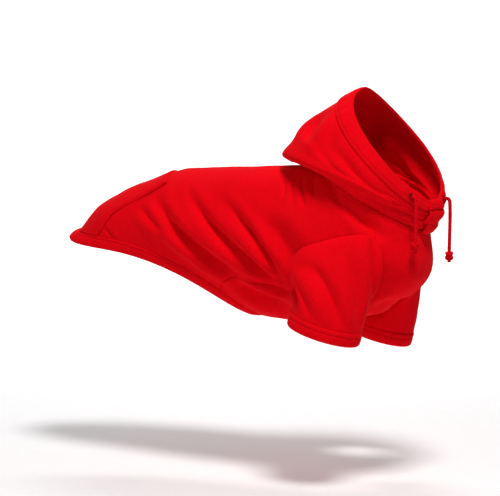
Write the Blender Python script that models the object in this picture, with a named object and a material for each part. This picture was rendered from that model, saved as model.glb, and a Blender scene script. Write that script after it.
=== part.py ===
"""Dog hoodie: a short-sleeved fleece jacket for a small dog, in the form that it has when it is worn.

Metres, +Z up. The origin lies on the withers, on the inner face of the back; +X runs to the head and +Y to the
dog's left. The body is a tube of rings that runs from the hem over the rump to the neck seam. The sleeves leave
it at two armholes, and the hood rises from the neck seam to a drawcord casing round the face opening.
"""

import math

import bpy
import numpy as np

# Body sizes
BACK_LENGTH = 0.390
CHEST_DEPTH = 0.196
CHEST_WIDTH = 0.158
CLOTH = 0.0020
SEAM_GAP = 0.0004
HEM_BAND_WIDTH = 0.0145
HEM_BAND_THICKNESS = 0.0036
TAIL_ROLL = 0.0040

# Sleeve sizes
ARMHOLE_START = 0.665
ARMHOLE_END = 0.948
ARMHOLE_UP_TURN = 0.53
ARMHOLE_DOWN_TURN = 0.34
SLEEVE_HEM_DEPTH = 0.188
LEFT_SLEEVE_DROP = 0.019
SLEEVE_HEM_FORWARD = 0.078
SLEEVE_SPREAD = 0.083
SLEEVE_HEM_LENGTH = 0.090
SLEEVE_HEM_WIDTH = 0.074
SLEEVE_HEM_TILT = math.radians(-16)
SLEEVE_BAND_WIDTH = 0.0165
SLEEVE_BAND_THICKNESS = 0.0034

# Hood sizes
HOOD_LENGTH = 0.200
HOOD_HEIGHT = 0.160
HOOD_WIDTH = 0.180
HOOD_TURN = 0.011
NECK_LIFT = 0.0048
CASING_THICKNESS = 0.0050
LAP_LIFT = 0.0062
LAP_START = 0.46
LAP_OVERLAP = 0.20

# Pocket, eyelets and drawcord
POCKET_TOP = 0.366
POCKET_LIFT = 0.0010
EYELET_LENGTH = 0.0125
EYELET_WIDTH = 0.0090
EYELET_RIM = 0.0016
EYELET_THICKNESS = 0.0011
EYELET_SHARE = 0.45
EYELET_GAP = 0.0006
EYELET_TURN_RIGHT = 0.795
EYELET_TURN_LEFT = 0.835
CORD_DIAMETER = 0.0046
CORD_LENGTH_RIGHT = 0.054
CORD_LENGTH_LEFT = 0.066
CORD_SEAT = 0.0008
KNOT_GAP = 0.0004
KNOT_DIAMETER = 0.0125
KNOT_LENGTH = 0.0135

# Grid steps of the cloth
BACK_COLUMNS = (20, 13, 2)
BACK_TURNS = 12
BELLY_TURNS = 6
SLEEVE_ROWS = 6
HOOD_ROWS = 11
LAP_TURNS = 2
POCKET_COLUMNS = 12
POCKET_TURNS = 10
EYELET_SIDES = 12
CORD_POINTS = 9
KNOT_RINGS = 8
KNOT_SIDES = 12

# Rings of the body, from the hem band seam to the neck seam. Along X they are shares of BACK_LENGTH, along Z of
# CHEST_DEPTH and across of CHEST_WIDTH. bow lifts the sides of a ring off its chord and sway shifts that lift
# towards the back (+) or the front (-). A power under 1 squares the section at the back or front of the ring, and
# one over 1 draws it to a point.
RING_COLUMNS = ("station", "back_x", "back_z", "front_x", "front_z", "width", "bow_x", "bow_z",
                "sway_x", "sway_z", "back_power", "front_power")
BODY_RINGS = (
    (0.00, -0.857, -0.475, -0.148, -0.985, 0.780, 0.0, 0.170, 0.0, -0.025, 0.90, 0.90),
    (0.08, -0.778, -0.305, -0.128, -0.992, 0.840, 0.0, 0.155, 0.0, -0.035, 0.88, 0.88),
    (0.17, -0.685, -0.200, -0.104, -0.998, 0.890, 0.0, 0.125, 0.0, -0.040, 0.86, 0.86),
    (0.28, -0.570, -0.110, -0.066, -1.000, 0.920, 0.0, 0.100, 0.0, -0.045, 0.85, 0.85),
    (0.40, -0.441, -0.030, -0.018, -1.000, 0.940, 0.0, 0.070, 0.0, -0.030, 0.85, 0.85),
    (0.52, -0.308, -0.012, 0.045, -1.000, 0.960, 0.0, 0.050, 0.0, -0.020, 0.84, 0.84),
    (0.64, -0.180, -0.005, 0.128, -0.990, 0.980, 0.0, 0.025, 0.0, 0.0, 0.83, 0.83),
    (0.76, -0.072, 0.004, 0.235, -0.955, 0.990, 0.0, 0.005, 0.0, 0.0, 0.82, 0.82),
    (0.86, 0.0, 0.010, 0.355, -0.865, 0.980, 0.0, 0.0, 0.0, 0.0, 0.82, 0.80),
    (0.93, 0.051, 0.014, 0.448, -0.670, 0.930, 0.0, 0.0, 0.0, 0.0, 0.84, 0.78),
    (1.00, 0.102, 0.020, 0.446, -0.370, 0.770, 0.0, 0.010, 0.0, 0.0, 0.90, 0.90),
)

# The seam between back panel and belly panel: how far round each ring it lies, in turns of half a ring
SIDE_SEAM = (
    (0.00, 0.765),
    (0.20, 0.715),
    (0.45, 0.705),
    (0.66, 0.705),
    (0.80, 0.680),
    (0.94, 0.650),
    (1.00, 0.640),
)

# Rings of the hood, from the neck seam to the rim of the face opening. Along X they are shares of HOOD_LENGTH,
# along Z of HOOD_HEIGHT and across of HOOD_WIDTH.
HOOD_RINGS = (
    (0.14, 0.060, 0.045, 0.886, -0.434, 0.790, 0.0, 0.090, 0.0, -0.01, 1.05, 0.95),
    (0.27, -0.060, 0.058, 0.898, -0.417, 0.920, 0.0, 0.140, 0.0, -0.01, 1.15, 0.95),
    (0.34, -0.083, 0.085, 0.904, -0.407, 0.950, 0.0, 0.145, 0.0, -0.01, 1.15, 0.95),
    (0.46, -0.018, 0.190, 0.911, -0.393, 0.940, 0.0, 0.105, 0.0, 0.0, 1.15, 0.95),
    (0.62, 0.070, 0.325, 0.917, -0.375, 0.910, 0.0, 0.055, 0.0, 0.0, 1.12, 0.96),
    (0.76, 0.190, 0.455, 0.919, -0.357, 0.870, 0.010, 0.010, 0.0, 0.0, 1.10, 0.97),
    (0.88, 0.345, 0.555, 0.918, -0.335, 0.830, 0.0, -0.010, -0.020, 0.0, 1.05, 1.0),
    (0.94, 0.415, 0.605, 0.905, -0.305, 0.780, 0.0, -0.005, -0.028, -0.010, 1.03, 1.0),
    (1.00, 0.480, 0.635, 0.875, -0.270, 0.700, 0.010, 0.005, -0.030, -0.020, 1.0, 1.0),
)
CASING_SEAM = 0.88
CASING_GAP = 0.002

# Folds of the body, seen from the side: where each starts and ends (shares of BACK_LENGTH along X, of CHEST_DEPTH
# along Z), how far it sags off the straight line, its half width and its depth (both shares of BACK_LENGTH)
FOLD_COLUMNS = ("side", "start_x", "start_z", "end_x", "end_z", "sag", "half_width", "depth")
BODY_FOLDS = (
    ("both", -0.463, -0.241, -0.142, -0.711, -0.016, 0.024, 0.0110),
    ("both", -0.342, -0.175, 0.028, -0.760, -0.012, 0.021, 0.0085),
    ("both", -0.189, -0.226, 0.033, -0.718, 0.018, 0.019, 0.0075),
    ("both", -0.040, -0.310, 0.110, -0.640, 0.010, 0.038, 0.0080),
    ("right", -0.540, -0.270, -0.410, -0.445, 0.0, 0.018, 0.0045),
    ("left", -0.580, -0.300, -0.360, -0.520, -0.010, 0.020, 0.0060),
    ("both", -0.175, -0.750, 0.030, -0.905, -0.008, 0.026, 0.0085),
    ("both", 0.070, -0.050, 0.107, -0.235, 0.0, 0.012, 0.0060),
    ("right", 0.098, -0.020, 0.133, -0.190, 0.004, 0.011, 0.0050),
    ("both", 0.147, -0.040, 0.235, -0.235, 0.006, 0.013, 0.0055),
    ("both", 0.285, -0.270, 0.370, -0.440, 0.0, 0.022, 0.0050),
    ("both", 0.385, -0.830, 0.305, -0.915, -0.006, 0.020, 0.0065),
)

# Folds of a sleeve: turns round it are shares of a full turn and rows run from the armhole (0) to the hem (1)
SLEEVE_FOLD_COLUMNS = ("start_turn", "start_row", "end_turn", "end_row", "half_width", "depth")
SLEEVE_FOLDS = (
    (0.985, 0.10, 0.040, 0.62, 0.045, 0.0040),
    (0.735, 0.30, 0.870, 0.95, 0.035, 0.0032),
    (0.580, 0.35, 0.640, 0.80, 0.040, 0.0035),
    (0.190, 0.15, 0.260, 0.75, 0.050, 0.0035),
)

# Folds of the hood: turns are shares of half a ring, stations are those of the hood's table
HOOD_FOLDS = (
    ("both", 0.14, 0.80, 0.30, 0.60, 0.060, 0.0030),
    ("right", 0.42, 0.80, 0.60, 0.64, 0.060, 0.0022),
    ("left", 0.38, 0.80, 0.66, 0.62, 0.060, 0.0026),
)
HOOD_FOLD_COLUMNS = ("side", "start_turn", "start_station", "end_turn", "end_station", "half_width", "depth")

# Half width of the pocket at stations of the body, in turns of half a ring
POCKET_EDGE = (
    (0.000, 0.288),
    (0.051, 0.281),
    (0.085, 0.265),
    (0.128, 0.242),
    (0.206, 0.223),
    (0.294, 0.188),
    (0.366, 0.158),
)

# Route of a hanging cord: shares of its length along the casing's outward normal, and down
CORD_ROUTE = ((0.0, 0.0), (0.045, 0.004), (0.085, 0.030), (0.105, 0.100), (0.112, 0.300), (0.108, 0.620), (0.100, 1.0))

# Cross-section of a folded band: shares of its width from the seam, and of its thickness from the inner face
BAND_SECTION = ((0.0, 0.10), (0.0, 0.78), (0.45, 1.10), (0.86, 0.98), (1.0, 0.50), (0.86, 0.02), (0.45, -0.10))


def clear_scene():
    """Empty the scene."""
    for thing in list(bpy.data.objects):
        bpy.data.objects.remove(thing, do_unlink=True)


def cloth_material(name, colour, roughness):
    """Dyed cloth: a Principled surface with no metal."""
    material = bpy.data.materials.get(name) or bpy.data.materials.new(name)
    material.use_nodes = True
    shader = material.node_tree.nodes["Principled BSDF"]
    shader.inputs["Base Color"].default_value = (*colour, 1.0)
    shader.inputs["Roughness"].default_value = roughness
    shader.inputs["Metallic"].default_value = 0.0
    material.diffuse_color = (*colour, 1.0)
    return material


def fleece():
    """Brushed red sweatshirt fleece."""
    return cloth_material("red_fleece", (0.72, 0.003, 0.008), 0.85)


def braid():
    """Red braided cotton cord."""
    return cloth_material("red_braid", (0.62, 0.003, 0.008), 0.75)


def thread():
    """Dark red sewing thread."""
    return cloth_material("dark_red_thread", (0.25, 0.004, 0.008), 0.7)


def smooth_rows(table, stations):
    """Read a table between its rows, on a smooth curve through them; the first column is the station."""
    rows = np.array(table, float)
    knots, values = rows[:, 0], rows[:, 1:]
    slopes = np.gradient(values, knots, axis=0)
    stations = np.asarray(stations, float)
    index = np.clip(np.searchsorted(knots, stations) - 1, 0, len(knots) - 2)
    step = knots[index + 1] - knots[index]
    t = ((stations - knots[index]) / step)[..., None]
    step = step[..., None]
    start = (2 * t**3 - 3 * t**2 + 1) * values[index] + (t**3 - 2 * t**2 + t) * step * slopes[index]
    end = (3 * t**2 - 2 * t**3) * values[index + 1] + (t**3 - t**2) * step * slopes[index + 1]
    return start + end


def smooth_step(value, start, end):
    """Rise from 0 at start to 1 at end with level ends."""
    t = np.clip((value - start) / (end - start), 0.0, 1.0)
    return t * t * (3 - 2 * t)


def ring_points(table, size, stations, turn, bow_power):
    """Points on the rings of a table. turn is the angle round the ring: 0 at the back, pi at the front."""
    length, height, width = size
    row = smooth_rows(table, stations)
    back_x, back_z, front_x, front_z, half, bow_x, bow_z, sway_x, sway_z, back_p, front_p = np.moveaxis(row, -1, 0)
    along = -np.cos(turn)
    side = np.abs(np.sin(turn))
    sway = -2 * side * along
    bow = side**bow_power
    x = (back_x + front_x) / 2 + along * (front_x - back_x) / 2 + bow * bow_x + sway * sway_x
    z = (back_z + front_z) / 2 + along * (front_z - back_z) / 2 + bow * bow_z + sway * sway_z
    power = back_p + (front_p - back_p) * (1 + along) / 2
    y = np.sign(np.sin(turn)) * half / 2 * side**power
    return np.stack([x * length, y * width, z * height], -1)


def normals_of(surface, stations, turn):
    """Outward unit normals of a surface that takes a station and a turn."""
    step = 0.004
    low = np.clip(stations - step, 0, 1)
    high = np.clip(stations + step, 0, 1)
    along = surface(high, turn) - surface(low, turn)
    around = surface(stations, turn + step) - surface(stations, turn - step)
    normal = np.cross(along, around)
    return normal / np.linalg.norm(normal, axis=-1, keepdims=True)


def valley(places, start, end, sag, half_width):
    """A valley between two low ridges along a line from start to end, 1 deep, on a plane of places."""
    start, end = np.array(start), np.array(end)
    line = end - start
    length = np.linalg.norm(line)
    line = line / length
    across = np.array([-line[1], line[0]])
    offset = places - start
    share = (offset @ line) / length
    ease = smooth_step(share, -0.08, 0.25) * (1 - smooth_step(share, 0.72, 1.08))
    distance = (offset @ across - sag * 4 * share * (1 - share)) / half_width
    return ease * (np.exp(-distance**2) - 0.45 * np.exp(-((np.abs(distance) - 1.7) ** 2)))


def one_side(side, across):
    """1 on the side that a fold is on, easing to 0 on the other; across is positive on the left."""
    if side == "right":
        return smooth_step(-across, 0.0, 0.02)
    if side == "left":
        return smooth_step(across, 0.0, 0.02)
    return np.ones_like(across)


def fold_height(points):
    """How far the body's folds push the cloth out, at points seen from the side."""
    height = np.zeros(points.shape[:-1])
    scale = np.array([BACK_LENGTH, CHEST_DEPTH])
    for fold in BODY_FOLDS:
        row = dict(zip(FOLD_COLUMNS, fold))
        start = np.array([row["start_x"], row["start_z"]]) * scale
        end = np.array([row["end_x"], row["end_z"]]) * scale
        wave = valley(points[..., [0, 2]], start, end, row["sag"] * BACK_LENGTH, row["half_width"] * BACK_LENGTH)
        height -= row["depth"] * BACK_LENGTH * wave * one_side(row["side"], points[..., 1])
    return height


def sleeve_fold_height(rows, angle):
    """How far the sleeve's folds push its cloth out."""
    share = np.mod(angle / (2 * math.pi), 1.0)
    height = np.zeros(share.shape)
    for fold in SLEEVE_FOLDS:
        row = dict(zip(SLEEVE_FOLD_COLUMNS, fold))
        start = np.array([row["start_turn"], row["start_row"]])
        end = np.array([row["end_turn"], row["end_row"]])
        end[0] = start[0] + (end[0] - start[0] + 0.5) % 1.0 - 0.5
        offset = (share - start[0] + 0.5) % 1.0 - 0.5
        places = np.stack([start[0] + offset, rows], -1)
        height -= row["depth"] * valley(places, start, end, 0.0, row["half_width"])
    return height


def hood_fold_height(stations, turn):
    """How far the hood's folds push its cloth out."""
    height = np.zeros(np.shape(turn))
    places = np.stack([np.abs(turn) / math.pi, stations], -1)
    for fold in HOOD_FOLDS:
        row = dict(zip(HOOD_FOLD_COLUMNS, fold))
        start = (row["start_turn"], row["start_station"])
        end = (row["end_turn"], row["end_station"])
        wave = valley(places, start, end, 0.0, row["half_width"])
        height -= row["depth"] * wave * one_side(row["side"], np.sin(turn))
    return height


def plain_body(stations, turn):
    """The body's inner surface before its folds."""
    stations, turn = np.broadcast_arrays(np.asarray(stations, float), np.asarray(turn, float))
    return ring_points(BODY_RINGS, (BACK_LENGTH, CHEST_DEPTH, CHEST_WIDTH), stations, turn, 2)


def body(stations, turn):
    """The body's inner surface with its folds."""
    points = plain_body(stations, turn)
    calm = smooth_step(np.asarray(stations, float), 0.0, 0.04) * np.ones(points.shape[:-1])
    push = calm * fold_height(points)
    return points + push[..., None] * normals_of(plain_body, np.asarray(stations, float), turn)


def hood_rings():
    """The hood's table with the body's neck seam as its first row, in the hood's own shares."""
    _, back_x, back_z, front_x, front_z, half, bow_x, bow_z, sway_x, sway_z, back_p, front_p = BODY_RINGS[-1]
    along, up = BACK_LENGTH / HOOD_LENGTH, CHEST_DEPTH / HOOD_HEIGHT
    neck = (0.0, back_x * along, back_z * up, front_x * along, front_z * up, half * CHEST_WIDTH / HOOD_WIDTH,
            bow_x * along, bow_z * up, sway_x * along, sway_z * up, back_p, front_p)
    return (neck, *HOOD_RINGS)


def plain_hood(stations, turn):
    """The hood's inner surface before its folds. It is turned a little to the right: its left comes forward."""
    stations, turn = np.broadcast_arrays(np.asarray(stations, float), np.asarray(turn, float))
    points = ring_points(hood_rings(), (HOOD_LENGTH, HOOD_HEIGHT, HOOD_WIDTH), stations, turn, 1)
    lift = NECK_LIFT * (1 - smooth_step(stations, 0.0, 0.3))
    points = points + lift[..., None] * normals_of(plain_body, np.ones_like(turn), turn)
    rise = smooth_step(stations, 0.3, 1.0)
    points[..., 0] += HOOD_TURN * rise * points[..., 1] / (HOOD_WIDTH / 2)
    return points


def hood(stations, turn):
    """The hood's inner surface with its folds."""
    stations, turn = np.broadcast_arrays(np.asarray(stations, float), np.asarray(turn, float))
    push = hood_fold_height(stations, turn)
    return plain_hood(stations, turn) + push[..., None] * normals_of(plain_hood, stations, turn)


def lap_lift(turn):
    """The left end of the hood and casing lies over the right end at the front."""
    return LAP_LIFT * smooth_step(turn, math.pi - LAP_START, math.pi - LAP_OVERLAP)


def side_seam(stations):
    """Turn of the side seam on each ring."""
    return smooth_rows(SIDE_SEAM, stations)[..., 0] * math.pi


def armhole_reach(stations, most):
    """How far the armhole's edge lies from the side seam at each ring; nothing beyond its ends."""
    middle = (ARMHOLE_START + ARMHOLE_END) / 2
    half = (ARMHOLE_END - ARMHOLE_START) / 2
    share = np.clip((np.asarray(stations, float) - middle) / half, -1, 1)
    return most * np.sqrt(np.maximum(0.0, 1 - share**2))


def armhole_loop(share, angle):
    """Station and turn of the armhole's edge, drawn in to a share of its size; angle 0 is the front end."""
    middle = (ARMHOLE_START + ARMHOLE_END) / 2
    half = (ARMHOLE_END - ARMHOLE_START) / 2
    stations = middle + share * half * np.cos(angle)
    reach = np.where(np.sin(angle) > 0, ARMHOLE_DOWN_TURN, ARMHOLE_UP_TURN)
    turn = side_seam(stations) + share * reach * np.sin(angle)
    return stations, turn


def body_stations():
    """Ring stations of the panels' columns: even to the armhole, then crowded towards both of its ends."""
    to_armhole, across, to_neck = BACK_COLUMNS
    rear = np.linspace(0, ARMHOLE_START, to_armhole, endpoint=False)
    angle = np.linspace(math.pi, 0, across, endpoint=False)
    middle = (ARMHOLE_START + ARMHOLE_END) / 2
    half = (ARMHOLE_END - ARMHOLE_START) / 2
    neck = np.linspace(ARMHOLE_END, 1, to_neck + 1)
    return np.concatenate([rear, middle + half * np.cos(angle), neck])


def half_ring_turns(stations):
    """Turns of the grid lines on half a ring, from the back round to the front, at each station."""
    edge = side_seam(stations)[..., None]
    upper = edge * np.linspace(0, 1, BACK_TURNS + 1)
    lower = edge + (math.pi - edge) * np.linspace(0, 1, BELLY_TURNS + 1)[1:]
    return np.concatenate([upper, lower], -1)


def closed_sheet(inner, outer, wrap=False):
    """Vertices and faces of a cloth wall between two matching grids of points."""
    rows, columns = inner.shape[:2]
    size = rows * columns
    points = np.concatenate([inner.reshape(-1, 3), outer.reshape(-1, 3)])
    faces = []
    steps = columns if wrap else columns - 1
    for i in range(rows - 1):
        for j in range(steps):
            a = i * columns + j
            b = i * columns + (j + 1) % columns
            c = b + columns
            d = a + columns
            faces.append((a, b, c, d))
            faces.append((a + size, d + size, c + size, b + size))
    for j in range(steps):
        a, b = j, (j + 1) % columns
        faces.append((a, a + size, b + size, b))
        a, b = a + (rows - 1) * columns, b + (rows - 1) * columns
        faces.append((a, b, b + size, a + size))
    if not wrap:
        for i in range(rows - 1):
            a, d = i * columns, (i + 1) * columns
            faces.append((a, d, d + size, a + size))
            a, d = a + columns - 1, d + columns - 1
            faces.append((a, a + size, d + size, d))
    return points, faces


def closed_tube(loops, wrap=False):
    """Vertices and faces of a solid swept through loops of points; wrap joins the last loop to the first."""
    count, sides = loops.shape[:2]
    points = loops.reshape(-1, 3)
    faces = []
    for i in range(count if wrap else count - 1):
        for k in range(sides):
            a = i * sides + k
            b = i * sides + (k + 1) % sides
            c = ((i + 1) % count) * sides + (k + 1) % sides
            d = ((i + 1) % count) * sides + k
            faces.append((a, b, c, d))
    if not wrap:
        faces.append(tuple(range(sides))[::-1])
        faces.append(tuple((count - 1) * sides + k for k in range(sides)))
    return points, faces


def add_solid(name, points, faces, material):
    """Make a mesh object from points and faces, with its faces turned outward."""
    mesh = bpy.data.meshes.new(name)
    mesh.from_pydata([tuple(map(float, point)) for point in points], [], faces)
    mesh.update()
    if solid_volume(mesh) < 0:
        mesh.flip_normals()
    mesh.materials.append(material)
    mesh.shade_smooth()
    mesh.set_sharp_from_angle(angle=math.radians(50))
    thing = bpy.data.objects.new(name, mesh)
    bpy.context.scene.collection.objects.link(thing)
    return thing


def solid_volume(mesh):
    """Signed volume inside a mesh."""
    total = 0.0
    for face in mesh.polygons:
        corners = [mesh.vertices[index].co for index in face.vertices]
        for second, third in zip(corners[1:], corners[2:]):
            total += corners[0].dot(second.cross(third)) / 6
    return total


def add_cloth(name, inner, normals, thickness, material, wrap=False):
    """Make a cloth wall that lies on an inner grid."""
    points, faces = closed_sheet(inner, inner + normals * thickness, wrap)
    return add_solid(name, points, faces, material)


def band_loops(seam, fold, normals, thickness):
    """Cross-section loops of a folded band between its seam line and its folded edge."""
    loops = []
    for share, lift in BAND_SECTION:
        line = seam + (fold - seam) * share
        loops.append(line + normals * (lift * thickness)[..., None])
    return np.stack(loops, 1)


def add_back_panel():
    """The back panel, from side seam over the back to side seam."""
    stations = body_stations()[:, None]
    stations = np.clip(stations, 0, 1 - SEAM_GAP / BACK_LENGTH)
    edge = side_seam(stations) - armhole_reach(stations, ARMHOLE_UP_TURN) - SEAM_GAP / CHEST_WIDTH
    turn = edge * np.linspace(-1, 1, 2 * BACK_TURNS + 1)[None, :]
    stations = stations * np.ones_like(turn)
    inner = body(stations, turn)
    add_cloth("back_panel", inner, normals_of(body, stations, turn), CLOTH, fleece())


def add_belly_panel():
    """The belly and chest panel, from side seam under the belly to side seam."""
    stations = body_stations()[:, None]
    stations = np.clip(stations, 0, 1 - SEAM_GAP / BACK_LENGTH)
    edge = side_seam(stations) + armhole_reach(stations, ARMHOLE_DOWN_TURN) + SEAM_GAP / CHEST_WIDTH
    turn = edge + (2 * math.pi - 2 * edge) * np.linspace(0, 1, 2 * BELLY_TURNS + 1)[None, :]
    stations = stations * np.ones_like(turn)
    inner = body(stations, turn)
    add_cloth("belly_panel", inner, normals_of(body, stations, turn), CLOTH, fleece())


def add_hem_band():
    """The folded band along the hem, rolled up a little at the tail."""
    half = half_ring_turns(np.zeros(1))[0]
    turn = np.concatenate([half, 2 * math.pi - half[-2:0:-1]])
    start = np.zeros_like(turn)
    edge = body(start, turn)
    normals = normals_of(body, start, turn)
    around = body(start, turn + 0.01) - body(start, turn - 0.01)
    away = np.cross(normals, around)
    away = away / np.linalg.norm(away, axis=-1, keepdims=True)
    roll = (1 + np.cos(turn)) / 2
    roll = roll**6
    seam = edge + away * SEAM_GAP
    fold = edge + away * (SEAM_GAP + HEM_BAND_WIDTH) + normals * (roll * TAIL_ROLL)[:, None]
    thickness = HEM_BAND_THICKNESS + TAIL_ROLL * roll
    loops = band_loops(seam, fold, normals, thickness)
    points, faces = closed_tube(loops, wrap=True)
    add_solid("hem_band", points, faces, fleece())


def sleeve_frame(side):
    """Centre and axes of a sleeve's hem: along the leg's length in side view, across, and down the leg."""
    drop = LEFT_SLEEVE_DROP if side > 0 else 0.0
    centre = np.array([SLEEVE_HEM_FORWARD, side * SLEEVE_SPREAD, -SLEEVE_HEM_DEPTH - drop])
    length = np.array([math.cos(SLEEVE_HEM_TILT), 0.0, math.sin(SLEEVE_HEM_TILT)])
    across = np.array([0.0, side, 0.0])
    down = np.array([math.sin(SLEEVE_HEM_TILT), 0.0, -math.cos(SLEEVE_HEM_TILT)])
    return centre, length, across, down


def sleeve(side, rows, angle):
    """The sleeve's inner surface from the armhole (row 0) to its hem seam (row 1)."""
    rows, angle = np.broadcast_arrays(np.asarray(rows, float), np.asarray(angle, float))
    share = 1 - 1.5 * SEAM_GAP / (ARMHOLE_DOWN_TURN * CHEST_WIDTH / 2)
    stations, turn = armhole_loop(share, angle)
    start = body(stations, side * turn)
    out = normals_of(body, stations, side * turn)
    centre, length, across, down = sleeve_frame(side)
    top = -np.sin(angle)
    end = (centre + length * (np.cos(angle) * SLEEVE_HEM_LENGTH / 2)[..., None]
           + across * (top * SLEEVE_HEM_WIDTH / 2)[..., None])
    reach = (0.016 + 0.020 * np.clip(top, 0, 1))[..., None]
    first = start + (out * 0.8 + down * (0.35 * np.clip(top, 0, 1) + 0.9 * np.clip(-top, 0, 1))[..., None]) * reach
    drop = np.linalg.norm(end - start, axis=-1, keepdims=True)
    second = end - down * drop * 0.4
    t = rows[..., None]
    points = (1 - t) ** 3 * start + 3 * (1 - t) ** 2 * t * first + 3 * (1 - t) * t**2 * second + t**3 * end
    away = (np.cos(angle)[..., None] * length * SLEEVE_HEM_WIDTH + top[..., None] * across * SLEEVE_HEM_LENGTH)
    away = away / np.linalg.norm(away, axis=-1, keepdims=True)
    calm = smooth_step(rows, 0.0, 0.12) * (1 - smooth_step(rows, 0.9, 1.0))
    return points + away * (calm * sleeve_fold_height(rows, angle))[..., None]


def add_sleeve(side, name):
    """A sleeve with its seam at the armhole, and the folded band at its hem."""
    angle = np.linspace(0, 2 * math.pi, 2 * BACK_COLUMNS[1], endpoint=False)[None, :]
    rows = np.linspace(0, 1, SLEEVE_ROWS + 1)[:, None]

    def surface(row, turn):
        return sleeve(side, row, turn)

    rows, angle = np.broadcast_arrays(rows, angle)
    inner = surface(rows, angle)
    normals = -side * normals_of(surface, rows, angle)
    stations, turn = armhole_loop(1.0, angle[0])
    normals[0] = normals_of(body, stations, side * turn)
    add_cloth(name, inner, normals, CLOTH, fleece(), wrap=True)
    _, _, _, down = sleeve_frame(side)
    seam = inner[-1] + down * SEAM_GAP
    fold = inner[-1] + down * (SEAM_GAP + SLEEVE_BAND_WIDTH)
    thickness = np.full(len(seam), SLEEVE_BAND_THICKNESS)
    loops = band_loops(seam, fold, normals[-1], thickness)
    points, faces = closed_tube(loops, wrap=True)
    add_solid(name.replace("sleeve", "sleeve_hem"), points, faces, fleece())


def add_hood_half(side, name):
    """One half of the hood, from the centre seam at the back to the front."""
    stations = np.linspace(0, CASING_SEAM - CASING_GAP, HOOD_ROWS + 1)[:, None]
    gap = SEAM_GAP / HOOD_WIDTH * 2
    turn = half_ring_turns(np.ones(1))
    turn[0, 0] = gap
    turn[0, -1] = math.pi - gap
    if side > 0:
        lap = math.pi + LAP_OVERLAP * np.linspace(0, 1, LAP_TURNS + 1)[None, 1:]
        turn = np.concatenate([turn, lap], -1)
    stations, turn = np.broadcast_arrays(stations, side * turn)
    inner = hood(stations, turn)
    normals = normals_of(hood, stations, turn)
    inner[:, 0, 1] = side * SEAM_GAP / 2
    normals[:, 0, 1] = 0.0
    if side < 0:
        inner[:, -1, 1] = side * SEAM_GAP / 2
    if side > 0:
        inner = inner + normals * lap_lift(turn)[..., None]
    if side < 0:
        inner, normals = inner[:, ::-1], normals[:, ::-1]
    add_cloth(name, inner, normals, CLOTH, fleece())


def casing_lines(turn):
    """The casing's seam line, its rim and the outward normals between them, round the face opening."""
    seam_station = np.full_like(turn, CASING_SEAM + CASING_GAP)
    rim_station = np.ones_like(turn)
    normals = normals_of(hood, (seam_station + rim_station) / 2, turn)
    lift = normals * lap_lift(turn)[:, None]
    return hood(seam_station, turn) + lift, hood(rim_station, turn) + lift, normals


def add_casing():
    """The drawcord casing round the face opening, its left end over its right end."""
    half = half_ring_turns(np.ones(1))[0]
    lap = math.pi + LAP_OVERLAP * np.linspace(0, 1, LAP_TURNS + 1)[1:]
    turn = np.concatenate([-half[:0:-1], half, lap])
    turn[0] += SEAM_GAP / HOOD_WIDTH * 2
    seam, rim, normals = casing_lines(turn)
    thickness = np.full(len(turn), CASING_THICKNESS)
    loops = band_loops(seam, rim, normals, thickness)
    points, faces = closed_tube(loops)
    add_solid("hood_casing", points, faces, fleece())


def add_pocket():
    """The pouch pocket on the rump, with a slanted opening on each side."""
    stations = np.linspace(SEAM_GAP / BACK_LENGTH, POCKET_TOP, POCKET_COLUMNS)[:, None]
    edge = smooth_rows(POCKET_EDGE, stations)[..., 0] * math.pi
    turn = edge * np.linspace(-1, 1, POCKET_TURNS + 1)[None, :]
    stations = stations * np.ones_like(turn)
    normals = normals_of(body, stations, turn)
    inner = body(stations, turn) + normals * (CLOTH + POCKET_LIFT)
    add_cloth("back_pocket", inner, normals, CLOTH, fleece())


def casing_face(turn):
    """A point on the casing's outer face where a cord comes out, with its normal and the casing's own line."""
    step = 0.02
    seam, rim, normals = casing_lines(np.array([turn - step, turn, turn + step]))
    line = seam + (rim - seam) * EYELET_SHARE
    normal = normals[1]
    along = line[2] - line[0]
    along = along - normal * along.dot(normal)
    along = along / np.linalg.norm(along)
    return line[1] + normal * CASING_THICKNESS * BAND_SECTION[2][1], normal, along


def cord_exit(side):
    """Where a cord comes out of its eyelet, and the way out."""
    turn = EYELET_TURN_LEFT if side > 0 else -EYELET_TURN_RIGHT
    return casing_face(turn * math.pi)


def add_eyelet(side, name):
    """A stitched buttonhole: a flat oval ring on the casing."""
    centre, normal, along = cord_exit(side)
    across = np.cross(normal, along)
    loops = []
    for angle in np.linspace(0, 2 * math.pi, EYELET_SIDES, endpoint=False):
        way = math.cos(angle) * along * EYELET_LENGTH / 2 + math.sin(angle) * across * EYELET_WIDTH / 2
        inward = way / np.linalg.norm(way) * EYELET_RIM
        base = centre + normal * EYELET_GAP
        top = base + normal * EYELET_THICKNESS
        loops.append([base + way, top + way, top + way - inward, base + way - inward])
    points, faces = closed_tube(np.array(loops), wrap=True)
    add_solid(name, points, faces, thread())


def cord_points(side):
    """The route of a cord from its eyelet down to its knot."""
    start, normal, _ = cord_exit(side)
    length = CORD_LENGTH_LEFT if side > 0 else CORD_LENGTH_RIGHT
    route = np.array(CORD_ROUTE)
    knots = np.linspace(0, 1, len(route))
    fine = np.linspace(0, 1, CORD_POINTS)
    shares = smooth_rows(np.column_stack([knots, route]), fine)
    out = normal * np.array([1.0, 1.0, 0.35])
    base = start + normal * CORD_SEAT
    return base + shares[:, :1] * length * out - shares[:, 1:] * length * np.array([0.0, 0.0, 1.0])


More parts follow.
